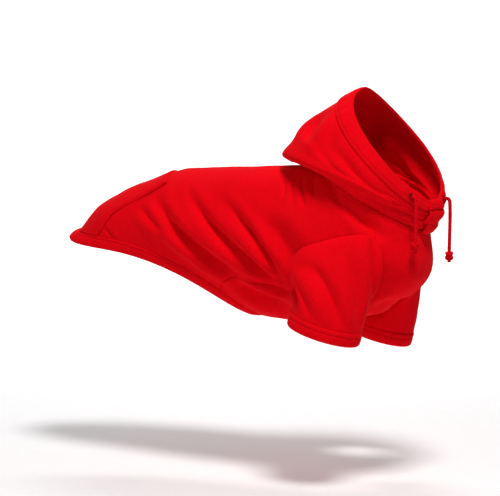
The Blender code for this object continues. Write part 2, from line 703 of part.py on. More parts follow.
def add_cord(side, name):
    """A hanging cord as a round tube."""
    curve = bpy.data.curves.new(name, "CURVE")
    curve.dimensions = "3D"
    curve.bevel_depth = CORD_DIAMETER / 2
    curve.bevel_resolution = 2
    curve.use_fill_caps = True
    points = cord_points(side)
    spline = curve.splines.new("POLY")
    spline.points.add(len(points) - 1)
    for point, place in zip(spline.points, points):
        point.co = (*map(float, place), 1.0)
    curve.materials.append(braid())
    thing = bpy.data.objects.new(name, curve)
    bpy.context.scene.collection.objects.link(thing)


def add_knot(side, name):
    """The overhand knot at a cord's end: a lobed ball with the wound turns of the cord round it."""
    end = cord_points(side)[-1]
    centre = end - np.array([0.0, 0.0, KNOT_LENGTH / 2 + KNOT_GAP])
    rings = []
    for level in np.linspace(0.06, 0.94, KNOT_RINGS):
        polar = math.pi * level
        ring = []
        for angle in np.linspace(0, 2 * math.pi, KNOT_SIDES, endpoint=False):
            lobes = 1 + 0.10 * math.cos(3 * (angle + 2.2 * polar))
            reach = KNOT_DIAMETER / 2 * math.sin(polar) ** 0.8 * lobes
            ring.append(centre + np.array([reach * math.cos(angle), reach * math.sin(angle),
                                           -math.cos(polar) * KNOT_LENGTH / 2]))
        rings.append(ring)
    points, faces = closed_tube(np.array(rings))
    add_solid(name, points, faces, braid())


def main():
    """Build every piece of the hoodie."""
    clear_scene()
    add_back_panel()
    add_belly_panel()
    add_hem_band()
    add_sleeve(-1, "sleeve_right")
    add_sleeve(1, "sleeve_left")
    add_hood_half(-1, "hood_right")
    add_hood_half(1, "hood_left")
    add_casing()
    add_pocket()
    for side, hand in ((-1, "right"), (1, "left")):
        add_eyelet(side, "eyelet_" + hand)
        add_cord(side, "drawcord_" + hand)
        add_knot(side, "knot_" + hand)


main()
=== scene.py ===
"""Looks of the dog hoodie: brushed red fleece, folded hems, a drawcord casing, braided cords and thread."""
import math

import bmesh
import bpy
import numpy as np
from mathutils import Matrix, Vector


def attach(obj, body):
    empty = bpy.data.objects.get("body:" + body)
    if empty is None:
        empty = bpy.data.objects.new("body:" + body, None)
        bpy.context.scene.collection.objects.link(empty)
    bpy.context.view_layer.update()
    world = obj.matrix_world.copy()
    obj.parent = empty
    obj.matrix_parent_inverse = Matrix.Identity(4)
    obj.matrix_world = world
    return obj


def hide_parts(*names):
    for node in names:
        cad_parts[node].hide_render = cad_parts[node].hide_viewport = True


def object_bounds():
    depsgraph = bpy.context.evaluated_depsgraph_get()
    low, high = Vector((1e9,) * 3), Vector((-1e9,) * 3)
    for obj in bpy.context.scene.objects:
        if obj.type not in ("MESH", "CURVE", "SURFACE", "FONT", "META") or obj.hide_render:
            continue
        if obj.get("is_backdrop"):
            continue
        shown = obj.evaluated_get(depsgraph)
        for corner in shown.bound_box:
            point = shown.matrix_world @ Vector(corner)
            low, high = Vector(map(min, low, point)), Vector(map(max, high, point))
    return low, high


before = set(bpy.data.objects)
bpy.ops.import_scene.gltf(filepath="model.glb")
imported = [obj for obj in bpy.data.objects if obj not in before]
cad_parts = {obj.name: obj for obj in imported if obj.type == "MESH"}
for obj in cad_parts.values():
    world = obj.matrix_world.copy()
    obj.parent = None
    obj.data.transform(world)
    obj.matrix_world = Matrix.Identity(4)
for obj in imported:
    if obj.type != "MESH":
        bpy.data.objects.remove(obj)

CAD_BOX = [list(corner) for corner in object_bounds()]

# Sizes of the garment, in metres
BACK_LENGTH, CHEST_DEPTH, CHEST_WIDTH = 0.390, 0.196, 0.158
CLOTH = 0.0020
SEAM_GAP = 0.0004
SEAM_LAP = 0.0010
HEM_BAND_WIDTH, HEM_BAND_THICKNESS, TAIL_ROLL = 0.0145, 0.0036, 0.0040
ARMHOLE_START, ARMHOLE_END = 0.665, 0.948
ARMHOLE_UP_TURN, ARMHOLE_DOWN_TURN = 0.53, 0.34
SLEEVE_HEM_DEPTH, LEFT_SLEEVE_DROP = 0.188, 0.019
SLEEVE_HEM_FORWARD, SLEEVE_SPREAD = 0.078, 0.083
SLEEVE_HEM_LENGTH, SLEEVE_HEM_WIDTH = 0.090, 0.074
SLEEVE_HEM_TILT = math.radians(-16)
SLEEVE_BAND_WIDTH, SLEEVE_BAND_THICKNESS = 0.0165, 0.0034
HOOD_LENGTH, HOOD_HEIGHT, HOOD_WIDTH = 0.200, 0.160, 0.180
HOOD_TURN, NECK_LIFT, NECK_SEAT = 0.011, 0.0048, 0.0009
CASING_THICKNESS, CASING_SEAM, CASING_GAP = 0.0050, 0.88, 0.002
LAP_LIFT, LAP_START, LAP_OVERLAP = 0.0062, 0.46, 0.20
POCKET_TOP, POCKET_LIFT = 0.366, 0.0010
EYELET_LENGTH, EYELET_WIDTH = 0.0125, 0.0090
EYELET_TURN = {-1: -0.795, 1: 0.835}
EYELET_SHARE = 0.45
CORD_DIAMETER = 0.0046
CORD_LENGTH = {-1: 0.054, 1: 0.066}
CORD_SEAT = 0.0008
KNOT_DIAMETER, KNOT_LENGTH, KNOT_GAP = 0.0125, 0.0135, 0.0004
THREAD_RADIUS = 0.00034
STITCH_PITCH = 0.0031
FLOOR = -0.403

# How much deeper the folds are than their tables give: sleeves and hood, then body
FOLD_DEPTH = 1.45
BODY_FOLD_DEPTH = 2.1

# Rings of the body from hem to neck: station, back x z, front x z, width, bow x z, sway x z, back and front power
BODY_RINGS = (
    (0.00, -0.857, -0.475, -0.148, -0.985, 0.780, 0.0, 0.170, 0.0, -0.025, 0.90, 0.90),
    (0.08, -0.778, -0.305, -0.128, -0.992, 0.840, 0.0, 0.155, 0.0, -0.035, 0.88, 0.88),
    (0.17, -0.685, -0.200, -0.104, -0.998, 0.890, 0.0, 0.125, 0.0, -0.040, 0.86, 0.86),
    (0.28, -0.570, -0.110, -0.066, -1.000, 0.920, 0.0, 0.100, 0.0, -0.045, 0.85, 0.85),
    (0.40, -0.441, -0.030, -0.018, -1.000, 0.940, 0.0, 0.070, 0.0, -0.030, 0.85, 0.85),
    (0.52, -0.308, -0.012, 0.045, -1.000, 0.960, 0.0, 0.050, 0.0, -0.020, 0.84, 0.84),
    (0.64, -0.180, -0.005, 0.128, -0.990, 0.980, 0.0, 0.025, 0.0, 0.0, 0.83, 0.83),
    (0.76, -0.072, 0.004, 0.235, -0.955, 0.990, 0.0, 0.005, 0.0, 0.0, 0.82, 0.82),
    (0.86, 0.0, 0.010, 0.355, -0.865, 0.980, 0.0, 0.0, 0.0, 0.0, 0.82, 0.80),
    (0.93, 0.051, 0.014, 0.448, -0.670, 0.930, 0.0, 0.0, 0.0, 0.0, 0.84, 0.78),
    (1.00, 0.102, 0.020, 0.446, -0.370, 0.770, 0.0, 0.010, 0.0, 0.0, 0.90, 0.90),
)

# How far round each ring the side seam lies, in turns of half a ring
SIDE_SEAM = ((0.00, 0.765), (0.20, 0.715), (0.45, 0.705), (0.66, 0.705),
             (0.80, 0.680), (0.94, 0.650), (1.00, 0.640))

# Rings of the hood from the neck seam to the rim of the face opening, as the body's
HOOD_RINGS = (
    (0.14, 0.060, 0.045, 0.886, -0.434, 0.790, 0.0, 0.090, 0.0, -0.01, 1.05, 0.95),
    (0.27, -0.060, 0.058, 0.898, -0.417, 0.920, 0.0, 0.140, 0.0, -0.01, 1.15, 0.95),
    (0.34, -0.083, 0.085, 0.904, -0.407, 0.950, 0.0, 0.145, 0.0, -0.01, 1.15, 0.95),
    (0.46, -0.018, 0.190, 0.911, -0.393, 0.940, 0.0, 0.105, 0.0, 0.0, 1.15, 0.95),
    (0.62, 0.070, 0.325, 0.917, -0.375, 0.910, 0.0, 0.055, 0.0, 0.0, 1.12, 0.96),
    (0.76, 0.190, 0.455, 0.919, -0.357, 0.870, 0.010, 0.010, 0.0, 0.0, 1.10, 0.97),
    (0.88, 0.345, 0.555, 0.918, -0.335, 0.830, 0.0, -0.010, -0.020, 0.0, 1.05, 1.0),
    (0.94, 0.415, 0.605, 0.905, -0.305, 0.780, 0.0, -0.005, -0.028, -0.010, 1.03, 1.0),
    (1.00, 0.480, 0.635, 0.875, -0.270, 0.700, 0.010, 0.005, -0.030, -0.020, 1.0, 1.0),
)

# Folds of the body from the side: side, start x z, end x z (shares of its length and depth), sag, half width, depth
BODY_FOLDS = (
    ("both", -0.463, -0.241, -0.142, -0.711, -0.016, 0.022, 0.0150),
    ("both", -0.342, -0.175, 0.028, -0.760, -0.012, 0.019, 0.0120),
    ("both", -0.189, -0.226, 0.033, -0.718, 0.018, 0.017, 0.0110),
    ("both", -0.040, -0.310, 0.110, -0.640, 0.010, 0.038, 0.0090),
    ("right", -0.540, -0.270, -0.410, -0.445, 0.0, 0.016, 0.0055),
    ("left", -0.580, -0.300, -0.360, -0.520, -0.010, 0.020, 0.0060),
    ("both", -0.175, -0.750, 0.030, -0.905, -0.008, 0.024, 0.0100),
    ("both", -0.120, -0.690, 0.060, -0.800, -0.004, 0.012, 0.0050),
    ("both", 0.010, -0.060, 0.030, -0.190, 0.002, 0.011, 0.0026),
    ("both", 0.042, -0.055, 0.062, -0.215, 0.002, 0.011, 0.0038),
    ("both", 0.070, -0.050, 0.107, -0.235, 0.0, 0.012, 0.0042),
    ("right", 0.098, -0.020, 0.133, -0.190, 0.004, 0.011, 0.0032),
    ("both", 0.147, -0.040, 0.235, -0.235, 0.006, 0.013, 0.0045),
    ("both", 0.245, -0.215, 0.345, -0.370, 0.0, 0.016, 0.0055),
    ("both", 0.285, -0.270, 0.370, -0.440, 0.0, 0.022, 0.0060),
    ("both", 0.385, -0.830, 0.305, -0.915, -0.006, 0.018, 0.0080),
    ("right", -0.690, -0.420, -0.600, -0.560, 0.004, 0.007, 0.0040),
)

# Folds of a sleeve: start turn and row, end turn and row, half width, depth in metres
SLEEVE_FOLDS = (
    (0.985, 0.10, 0.040, 0.62, 0.040, 0.0055),
    (0.735, 0.25, 0.870, 0.97, 0.032, 0.0045),
    (0.580, 0.35, 0.640, 0.85, 0.030, 0.0045),
    (0.660, 0.50, 0.730, 0.95, 0.024, 0.0022),
    (0.900, 0.30, 0.960, 0.95, 0.028, 0.0028),
    (0.190, 0.15, 0.260, 0.75, 0.050, 0.0040),
)

# Folds of the hood: side, start turn and station, end turn and station, half width, depth in metres
HOOD_FOLDS = (
    ("both", 0.14, 0.80, 0.30, 0.60, 0.060, 0.0045),
    ("right", 0.42, 0.80, 0.60, 0.64, 0.060, 0.0030),
    ("left", 0.38, 0.80, 0.66, 0.62, 0.060, 0.0030),
    ("both", 0.34, 0.84, 0.46, 0.52, 0.045, 0.0035),
    ("both", 0.55, 0.30, 0.86, 0.42, 0.045, 0.0030),
)

# Half width of the pocket along the body, in turns of half a ring
POCKET_EDGE = ((0.000, 0.288), (0.051, 0.281), (0.085, 0.265), (0.128, 0.242),
               (0.206, 0.223), (0.294, 0.188), (0.366, 0.158))

# Route of a hanging cord: shares of its length along the casing's normal, and down
CORD_ROUTE = ((0.0, 0.0), (0.045, 0.004), (0.085, 0.030), (0.105, 0.100),
              (0.112, 0.300), (0.108, 0.620), (0.100, 1.0))

# Folded band from its seam to its fold: share of its width, and of its thickness, on its outer and inner face
BAND_OUTER = ((0.0, 0.55), (0.05, 0.84), (0.20, 1.03), (0.45, 1.10), (0.75, 1.06), (0.93, 0.84), (1.0, 0.5))
BAND_INNER = ((0.0, 0.02), (0.05, 0.0), (0.20, -0.04), (0.45, -0.10), (0.75, -0.06), (0.93, 0.16), (1.0, 0.5))


# The garment's surfaces
def smooth_rows(table, stations):
    """Read a table between its rows on a smooth curve; the first column is the station."""
    rows = np.array(table, float)
    knots, values = rows[:, 0], rows[:, 1:]
    slopes = np.gradient(values, knots, axis=0)
    stations = np.asarray(stations, float)
    index = np.clip(np.searchsorted(knots, stations) - 1, 0, len(knots) - 2)
    step = (knots[index + 1] - knots[index])[..., None]
    t = (stations - knots[index])[..., None] / step
    start = (2 * t**3 - 3 * t**2 + 1) * values[index] + (t**3 - 2 * t**2 + t) * step * slopes[index]
    end = (3 * t**2 - 2 * t**3) * values[index + 1] + (t**3 - t**2) * step * slopes[index + 1]
    return start + end


def ease(value, start, end):
    """Rise from 0 at start to 1 at end with level ends."""
    t = np.clip((value - start) / (end - start), 0.0, 1.0)
    return t * t * (3 - 2 * t)


def bell(value, centre, half_width):
    """1 at the centre, falling off to each side."""
    return np.exp(-(((value - centre) / half_width) ** 2))


def ring_points(table, size, stations, turn, bow_power):
    """Points on the rings of a table; turn is 0 at the back and pi at the front."""
    row = smooth_rows(table, stations)
    back_x, back_z, front_x, front_z, half, bow_x, bow_z, sway_x, sway_z, back_p, front_p = np.moveaxis(row, -1, 0)
    along = -np.cos(turn)
    side = np.abs(np.sin(turn))
    sway = -2 * side * along
    bow = side**bow_power
    x = (back_x + front_x) / 2 + along * (front_x - back_x) / 2 + bow * bow_x + sway * sway_x
    z = (back_z + front_z) / 2 + along * (front_z - back_z) / 2 + bow * bow_z + sway * sway_z
    power = back_p + (front_p - back_p) * (1 + along) / 2
    y = np.sign(np.sin(turn)) * half / 2 * side**power
    return np.stack([x * size[0], y * size[2], z * size[1]], -1)


def normals_of(surface, stations, turn):
    """Outward unit normals of a surface that takes a station and a turn."""
    step = 0.004
    along = surface(np.clip(stations + step, 0, 1), turn) - surface(np.clip(stations - step, 0, 1), turn)
    around = surface(stations, turn + step) - surface(stations, turn - step)
    normal = np.cross(along, around)
    return normal / np.linalg.norm(normal, axis=-1, keepdims=True)


def valley(places, start, end, sag, half_width):
    """A valley 1 deep between two low ridges, along a line from start to end."""
    start, end = np.array(start, float), np.array(end, float)
    length = np.linalg.norm(end - start)
    line = (end - start) / length
    across = np.array([-line[1], line[0]])
    offset = places - start
    share = (offset @ line) / length
    fade = ease(share, -0.16, 0.42) * (1 - ease(share, 0.66, 1.12))
    distance = (offset @ across - sag * 4 * share * (1 - share)) / half_width
    return fade * (np.exp(-distance**2) - 0.45 * np.exp(-((np.abs(distance) - 1.7) ** 2)))


def one_side(side, across):
    """1 on the side that a fold is on, easing to 0 on the other."""
    if side == "both":
        return np.ones_like(across)
    return ease(across if side == "left" else -across, 0.0, 0.02)


def body_fold_height(points):
    """How far the body's folds push the cloth out."""
    height = np.zeros(points.shape[:-1])
    scale = np.array([BACK_LENGTH, CHEST_DEPTH])
    for side, start_x, start_z, end_x, end_z, sag, half_width, depth in BODY_FOLDS:
        start, end = np.array([start_x, start_z]) * scale, np.array([end_x, end_z]) * scale
        wave = valley(points[..., [0, 2]], start, end, sag * BACK_LENGTH, half_width * BACK_LENGTH)
        height -= BODY_FOLD_DEPTH * depth * BACK_LENGTH * wave * one_side(side, points[..., 1])
    return height


def sleeve_fold_height(rows, angle):
    """How far the sleeve's folds push its cloth out."""
    share = np.mod(angle / (2 * math.pi), 1.0)
    height = np.zeros(share.shape)
    for start_turn, start_row, end_turn, end_row, half_width, depth in SLEEVE_FOLDS:
        reach = (end_turn - start_turn + 0.5) % 1.0 - 0.5
        offset = (share - start_turn + 0.5) % 1.0 - 0.5
        places = np.stack([start_turn + offset, rows], -1)
        start, end = (start_turn, start_row), (start_turn + reach, end_row)
        height -= FOLD_DEPTH * depth * valley(places, start, end, 0.0, half_width)
    return height


def hood_fold_height(stations, turn):
    """How far the hood's folds push its cloth out."""
    height = np.zeros(np.shape(turn))
    places = np.stack([np.abs(turn) / math.pi, stations], -1)
    for side, start_turn, start_row, end_turn, end_row, half_width, depth in HOOD_FOLDS:
        wave = valley(places, (start_turn, start_row), (end_turn, end_row), 0.0, half_width)
        height -= FOLD_DEPTH * depth * wave * one_side(side, np.sin(turn))
    return height


def ripple(points, wavelength, seed):
    """Soft random undulation of the cloth, from -1 to 1."""
    random = np.random.RandomState(seed)
    total = np.zeros(points.shape[:-1])
    for _ in range(9):
        way = random.normal(size=3)
        way /= np.linalg.norm(way)
        length = wavelength * random.uniform(0.75, 1.45)
        total += np.sin(points @ way * 2 * math.pi / length + random.uniform(0, 2 * math.pi))
    return total / 4.5


def plain_body(stations, turn):
    """The body's inner face before its folds."""
    stations, turn = np.broadcast_arrays(np.asarray(stations, float), np.asarray(turn, float))
    return ring_points(BODY_RINGS, (BACK_LENGTH, CHEST_DEPTH, CHEST_WIDTH), stations, turn, 2)


def body(stations, turn):
    """The body's inner face with its folds."""
    points = plain_body(stations, turn)
    calm = ease(np.asarray(stations, float), 0.0, 0.04) * np.ones(points.shape[:-1])
    push = calm * body_fold_height(points)
    return points + push[..., None] * normals_of(plain_body, np.asarray(stations, float), turn)


def hood_rings():
    """The hood's table with the body's neck seam as its first row."""
    _, back_x, back_z, front_x, front_z, half, bow_x, bow_z, sway_x, sway_z, back_p, front_p = BODY_RINGS[-1]
    along, up = BACK_LENGTH / HOOD_LENGTH, CHEST_DEPTH / HOOD_HEIGHT
    neck = (0.0, back_x * along, back_z * up, front_x * along, front_z * up, half * CHEST_WIDTH / HOOD_WIDTH,
            bow_x * along, bow_z * up, sway_x * along, sway_z * up, back_p, front_p)
    return (neck, *HOOD_RINGS)


def plain_hood(stations, turn):
    """The hood's inner face before its folds."""
    stations, turn = np.broadcast_arrays(np.asarray(stations, float), np.asarray(turn, float))
    points = ring_points(hood_rings(), (HOOD_LENGTH, HOOD_HEIGHT, HOOD_WIDTH), stations, turn, 1)
    lift = NECK_LIFT * (1 - ease(stations, 0.0, 0.3))
    lift = lift - (NECK_LIFT - NECK_SEAT) * (1 - ease(stations, 0.0, 0.05))
    points = points + lift[..., None] * normals_of(plain_body, np.ones_like(turn), turn)
    points[..., 0] += HOOD_TURN * ease(stations, 0.3, 1.0) * points[..., 1] / (HOOD_WIDTH / 2)
    return points


def hood(stations, turn):
    """The hood's inner face with its folds."""
    stations, turn = np.broadcast_arrays(np.asarray(stations, float), np.asarray(turn, float))
    height = hood_fold_height(stations, turn)[..., None]
    return plain_hood(stations, turn) + height * normals_of(plain_hood, stations, turn)


def lap_lift(turn):
    """The left end of the hood and casing lies over the right end."""
    return LAP_LIFT * ease(turn, math.pi - LAP_START, math.pi - LAP_OVERLAP)


def side_seam(stations):
    """Turn of the side seam on each ring."""
    return smooth_rows(SIDE_SEAM, stations)[..., 0] * math.pi


def armhole_reach(stations, most):
    """How far the armhole's edge lies from the side seam at each ring."""
    middle, half = (ARMHOLE_START + ARMHOLE_END) / 2, (ARMHOLE_END - ARMHOLE_START) / 2
    share = np.clip((np.asarray(stations, float) - middle) / half, -1, 1)
    return most * np.sqrt(np.maximum(0.0, 1 - share**2))


def armhole_loop(share, angle):
    """Station and turn of the armhole's edge; angle 0 is its front end."""
    middle, half = (ARMHOLE_START + ARMHOLE_END) / 2, (ARMHOLE_END - ARMHOLE_START) / 2
    stations = middle + share * half * np.cos(angle)
    reach = np.where(np.sin(angle) > 0, ARMHOLE_DOWN_TURN, ARMHOLE_UP_TURN)
    return stations, side_seam(stations) + share * reach * np.sin(angle)


def sleeve_frame(side):
    """Centre and axes of a sleeve's hem."""
    drop = LEFT_SLEEVE_DROP if side > 0 else 0.0
    centre = np.array([SLEEVE_HEM_FORWARD, side * SLEEVE_SPREAD, -SLEEVE_HEM_DEPTH - drop])
    length = np.array([math.cos(SLEEVE_HEM_TILT), 0.0, math.sin(SLEEVE_HEM_TILT)])
    down = np.array([math.sin(SLEEVE_HEM_TILT), 0.0, -math.cos(SLEEVE_HEM_TILT)])
    return centre, length, np.array([0.0, side, 0.0]), down


def sleeve(side, rows, angle):
    """The sleeve's inner face from the armhole (row 0) to its hem seam (row 1)."""
    rows, angle = np.broadcast_arrays(np.asarray(rows, float), np.asarray(angle, float))
    share = 1 - 1.5 * SEAM_GAP / (ARMHOLE_DOWN_TURN * CHEST_WIDTH / 2)
    stations, turn = armhole_loop(share, angle)
    start, out = body(stations, side * turn), normals_of(body, stations, side * turn)
    centre, length, across, down = sleeve_frame(side)
    top = -np.sin(angle)
    end = (centre + length * (np.cos(angle) * SLEEVE_HEM_LENGTH / 2)[..., None]
           + across * (top * SLEEVE_HEM_WIDTH / 2)[..., None])
    reach = (0.016 + 0.020 * np.clip(top, 0, 1))[..., None]
    first = start + (out * 0.8 + down * (0.35 * np.clip(top, 0, 1) + 0.9 * np.clip(-top, 0, 1))[..., None]) * reach
    second = end - down * np.linalg.norm(end - start, axis=-1, keepdims=True) * 0.4
    t = rows[..., None]
    points = (1 - t) ** 3 * start + 3 * (1 - t) ** 2 * t * first + 3 * (1 - t) * t**2 * second + t**3 * end
    away = np.cos(angle)[..., None] * length * SLEEVE_HEM_WIDTH + top[..., None] * across * SLEEVE_HEM_LENGTH
    away = away / np.linalg.norm(away, axis=-1, keepdims=True)
    calm = ease(rows, 0.0, 0.12) * (1 - ease(rows, 0.9, 1.0))
    return points + away * (calm * sleeve_fold_height(rows, angle))[..., None]


def casing_lines(turn):
    """The casing's seam line, its rim and the outward normals between them."""
    seam_station, rim_station = np.full_like(turn, CASING_SEAM + CASING_GAP), np.ones_like(turn)
    normals = normals_of(hood, (seam_station + rim_station) / 2, turn)
    lift = normals * lap_lift(turn)[:, None]
    return hood(seam_station, turn) + lift, hood(rim_station, turn) + lift, normals


def cord_exit(side):
    """Where a cord comes out of the casing, with the way out and the casing's own line."""
    turn = EYELET_TURN[side] * math.pi
    seam, rim, normals = casing_lines(np.array([turn - 0.02, turn, turn + 0.02]))
    line = seam + (rim - seam) * EYELET_SHARE
    along = line[2] - line[0]
    along = along - normals[1] * along.dot(normals[1])
    return line[1] + normals[1] * CASING_THICKNESS * 1.10, normals[1], along / np.linalg.norm(along)


def cord_path(side, count):
    """The route of a cord from its eyelet down to its knot."""
    start, normal, _ = cord_exit(side)
    route = np.array(CORD_ROUTE)
    shares = smooth_rows(np.column_stack([np.linspace(0, 1, len(route)), route]), np.linspace(0, 1, count))
    out = normal * np.array([1.0, 1.0, 0.35]) * CORD_LENGTH[side]
    down = np.array([0.0, 0.0, -CORD_LENGTH[side]])
    return start + normal * CORD_SEAT + shares[:, :1] * out + shares[:, 1:] * down


# Colours and materials
def linear(hex_colour):
    """An sRGB hex colour as linear red, green, blue and alpha."""
    parts = [int(hex_colour[i:i + 2], 16) / 255 for i in (1, 3, 5)]
    return (*[c / 12.92 if c <= 0.04045 else ((c + 0.055) / 1.055) ** 2.4 for c in parts], 1.0)


def add_node(tree, kind, settings=(), links=()):
    """Add a node; settings are (name or socket number, value), and links are (socket, source node, source socket)."""
    node = tree.nodes.new(kind)
    for key, value in settings:
        if isinstance(key, str) and hasattr(node, key):
            setattr(node, key, value)
        else:
            node.inputs[key].default_value = value
    for socket, source, output in links:
        tree.links.new(source.outputs[output], node.inputs[socket])
    return node


def new_material(name, settings):
    """A material with a Principled shader, and its tree and shader."""
    material = bpy.data.materials.new(name)
    material.use_nodes = True
    shader = material.node_tree.nodes["Principled BSDF"]
    for key, value in settings:
        shader.inputs[key].default_value = value
    return material, material.node_tree, shader


def fleece_material(name, colour, deep, nap_depth):
    """Brushed-back sweatshirt fleece: a cotton and polyester jersey face, dyed, soft and matt, with painted shade
    along its seams.
    The knit's wales are 1.1 mm apart, a real loop being 0.7 mm; the raised fibres are 0.4 mm across."""
    material, tree, shader = new_material(name, (
        ("Roughness", 0.95), ("Specular IOR Level", 0.06), ("Sheen Weight", 0.05), ("Sheen Roughness", 0.55),
        ("Sheen Tint", linear("#FF2020")), ("Metallic", 0.0)))
    cloth = add_node(tree, "ShaderNodeUVMap", (("uv_map", "cloth"),))
    place = add_node(tree, "ShaderNodeTexCoord")
    wales = add_node(tree, "ShaderNodeTexWave", (("wave_type", "BANDS"), ("bands_direction", "X"), ("Scale", 145.0),
                     ("Distortion", 0.6), ("Detail", 1.0), ("Detail Scale", 1.5)), (("Vector", cloth, 0),))
    courses = add_node(tree, "ShaderNodeTexWave", (("wave_type", "BANDS"), ("bands_direction", "Y"), ("Scale", 190.0),
                       ("Distortion", 0.8), ("Detail", 1.0)), (("Vector", cloth, 0),))
    fibres = add_node(tree, "ShaderNodeTexNoise", (("Scale", 2400.0), ("Detail", 3.0), ("Roughness", 0.6)),
                      (("Vector", place, "Object"),))
    tufts = add_node(tree, "ShaderNodeTexNoise", (("Scale", 420.0), ("Detail", 2.0)), (("Vector", place, "Object"),))
    fade = add_node(tree, "ShaderNodeTexNoise", (("Scale", 22.0), ("Detail", 3.0)), (("Vector", place, "Object"),))
    knit = add_node(tree, "ShaderNodeMath", (("operation", "MULTIPLY"),), ((0, wales, "Fac"), (1, courses, "Fac")))
    nap = add_node(tree, "ShaderNodeMath", (("operation", "MULTIPLY_ADD"), (1, 0.55)),
                   ((0, fibres, 0), (2, tufts, 0)))
    height = add_node(tree, "ShaderNodeMath", (("operation", "MULTIPLY_ADD"), (1, 0.35)), ((0, knit, 0), (2, nap, 0)))
    tone = add_node(tree, "ShaderNodeMath", (("operation", "MULTIPLY_ADD"), (1, 0.6)), ((0, fade, 0), (2, nap, 0)))
    share = add_node(tree, "ShaderNodeMapRange", (("From Min", 0.55), ("From Max", 1.6)), ((0, tone, 0),))
    dye = add_node(tree, "ShaderNodeMix", (("data_type", "RGBA"), (6, linear(deep)), (7, linear(colour))),
                   ((0, share, 0),))
    # Painted shade: the value kept at each point darkens the dye to the deep red along seams and stitch lines
    painted_shade = add_node(tree, "ShaderNodeAttribute", (("attribute_name", "painted_shade"),))
    dye_with_painted_shade = add_node(tree, "ShaderNodeMix", (("data_type", "RGBA"), (7, linear(deep))),
                    ((0, painted_shade, "Fac"), (6, dye, 2)))
    tree.links.new(dye_with_painted_shade.outputs[2], shader.inputs["Base Color"])
    bump = add_node(tree, "ShaderNodeBump", (("Strength", 0.75), ("Distance", nap_depth)), (("Height", height, 0),))
    tree.links.new(bump.outputs[0], shader.inputs["Normal"])
    return material


def thread_material(name, colour, deep):
    """Spun polyester sewing thread, two plies twisted: a little glossier than the fleece that it pulls in."""
    material, tree, shader = new_material(name, (
        ("Roughness", 0.75), ("Specular IOR Level", 0.08), ("Sheen Weight", 0.0)))
    place = add_node(tree, "ShaderNodeTexCoord")
    plies = add_node(tree, "ShaderNodeTexNoise", (("Scale", 3000.0), ("Detail", 2.0)), (("Vector", place, "Object"),))
    dye = add_node(tree, "ShaderNodeMix", (("data_type", "RGBA"), (6, linear(deep)), (7, linear(colour))),
                   ((0, plies, 0),))
    tree.links.new(dye.outputs[2], shader.inputs["Base Color"])
    bump = add_node(tree, "ShaderNodeBump", (("Strength", 0.6), ("Distance", 0.00012)), (("Height", plies, 0),))
    tree.links.new(bump.outputs[0], shader.inputs["Normal"])
    return material


def braid_material(name, colour, deep):
    """Round cotton cord braided from 16 yarns: fine slanting yarns with painted shade between them, and a few raised
    fibres.
    """
    material, tree, shader = new_material(name, (
        ("Roughness", 0.9), ("Specular IOR Level", 0.06), ("Sheen Weight", 0.03), ("Sheen Tint", linear("#FF2020"))))
    place = add_node(tree, "ShaderNodeTexCoord")
    # Painted shade: the braid's hollows, and its splayed cut end, are darkened to the deep red
    painted_hollow_shade = add_node(tree, "ShaderNodeAttribute", (("attribute_name", "painted_shade"),))
    fibres = add_node(tree, "ShaderNodeTexNoise", (("Scale", 2600.0), ("Detail", 3.0)), (("Vector", place, "Object"),))
    dye = add_node(tree, "ShaderNodeMix", (("data_type", "RGBA"), (6, linear(colour)), (7, linear(deep))),
                   ((0, painted_hollow_shade, "Fac"),))
    tree.links.new(dye.outputs[2], shader.inputs["Base Color"])
    bump = add_node(tree, "ShaderNodeBump", (("Strength", 0.7), ("Distance", 0.00015)), (("Height", fibres, 0),))
    tree.links.new(bump.outputs[0], shader.inputs["Normal"])
    return material


def paper_material(name, colour):
    """Matt white seamless background paper."""
    material, tree, shader = new_material(name, (("Roughness", 0.95), ("Specular IOR Level", 0.1)))
    place = add_node(tree, "ShaderNodeTexCoord")
    grain = add_node(tree, "ShaderNodeTexNoise", (("Scale", 40.0), ("Detail", 4.0)), (("Vector", place, "Object"),))
    dye = add_node(tree, "ShaderNodeMix", (("data_type", "RGBA"), (6, linear(colour)), (7, linear("#FFFFFF"))),
                   ((0, grain, 0),))
    tree.links.new(dye.outputs[2], shader.inputs["Base Color"])
    return material


# Making meshes
def spaced(count, crowd=0.0):
    """Shares from 0 to 1, crowded towards both ends."""
    t = np.linspace(-1, 1, count)
    return (1 + t * (1 - crowd) + crowd * np.sin(t * math.pi / 2)) / 2


def unit(vectors):
    """Vectors of length 1."""
    return vectors / np.maximum(np.linalg.norm(vectors, axis=-1, keepdims=True), 1e-12)


def grid_normals(points, wrap=False):
    """Outward unit normals of a grid of points that bends round its own middle."""
    if wrap:
        around = np.roll(points, -1, 1) - np.roll(points, 1, 1)
    else:
        around = np.gradient(points, axis=1)
    normals = unit(np.cross(np.gradient(points, axis=0), around))
    outward = (normals * (points - points.mean(axis=1, keepdims=True))).sum()
    return normals * np.sign(outward)


def walked(points, axis):
    """Distance along a grid from its first line."""
    steps = np.linalg.norm(np.diff(points, axis=axis), axis=-1)
    first = np.zeros_like(np.take(steps, [0], axis=axis))
    return np.concatenate([first, np.cumsum(steps, axis=axis)], axis)


def seam_relief(distance, along, kind):
    """Relief of the cloth beside a seam: pulled in at the seam, puffed beside it, pinched under a line of stitches."""
    pucker = 0.00022 * np.sin(along * 2 * math.pi / 0.0068 + 1.7 * np.sin(along * 2 * math.pi / 0.031))
    relief = -0.0011 * bell(distance, 0.0, 0.0012) + pucker * bell(distance, 0.0, 0.006)
    if kind == "soft":
        return 0.35 * relief
    if kind == "stitched":
        relief = relief + 0.0006 * bell(distance, 0.0032, 0.0018) - 0.0006 * bell(distance, 0.0064, 0.0010)
    if kind == "turned":
        relief = relief + 0.0012 * bell(distance, 0.0022, 0.0024) - 0.0007 * bell(distance, 0.0052, 0.0010)
    return relief


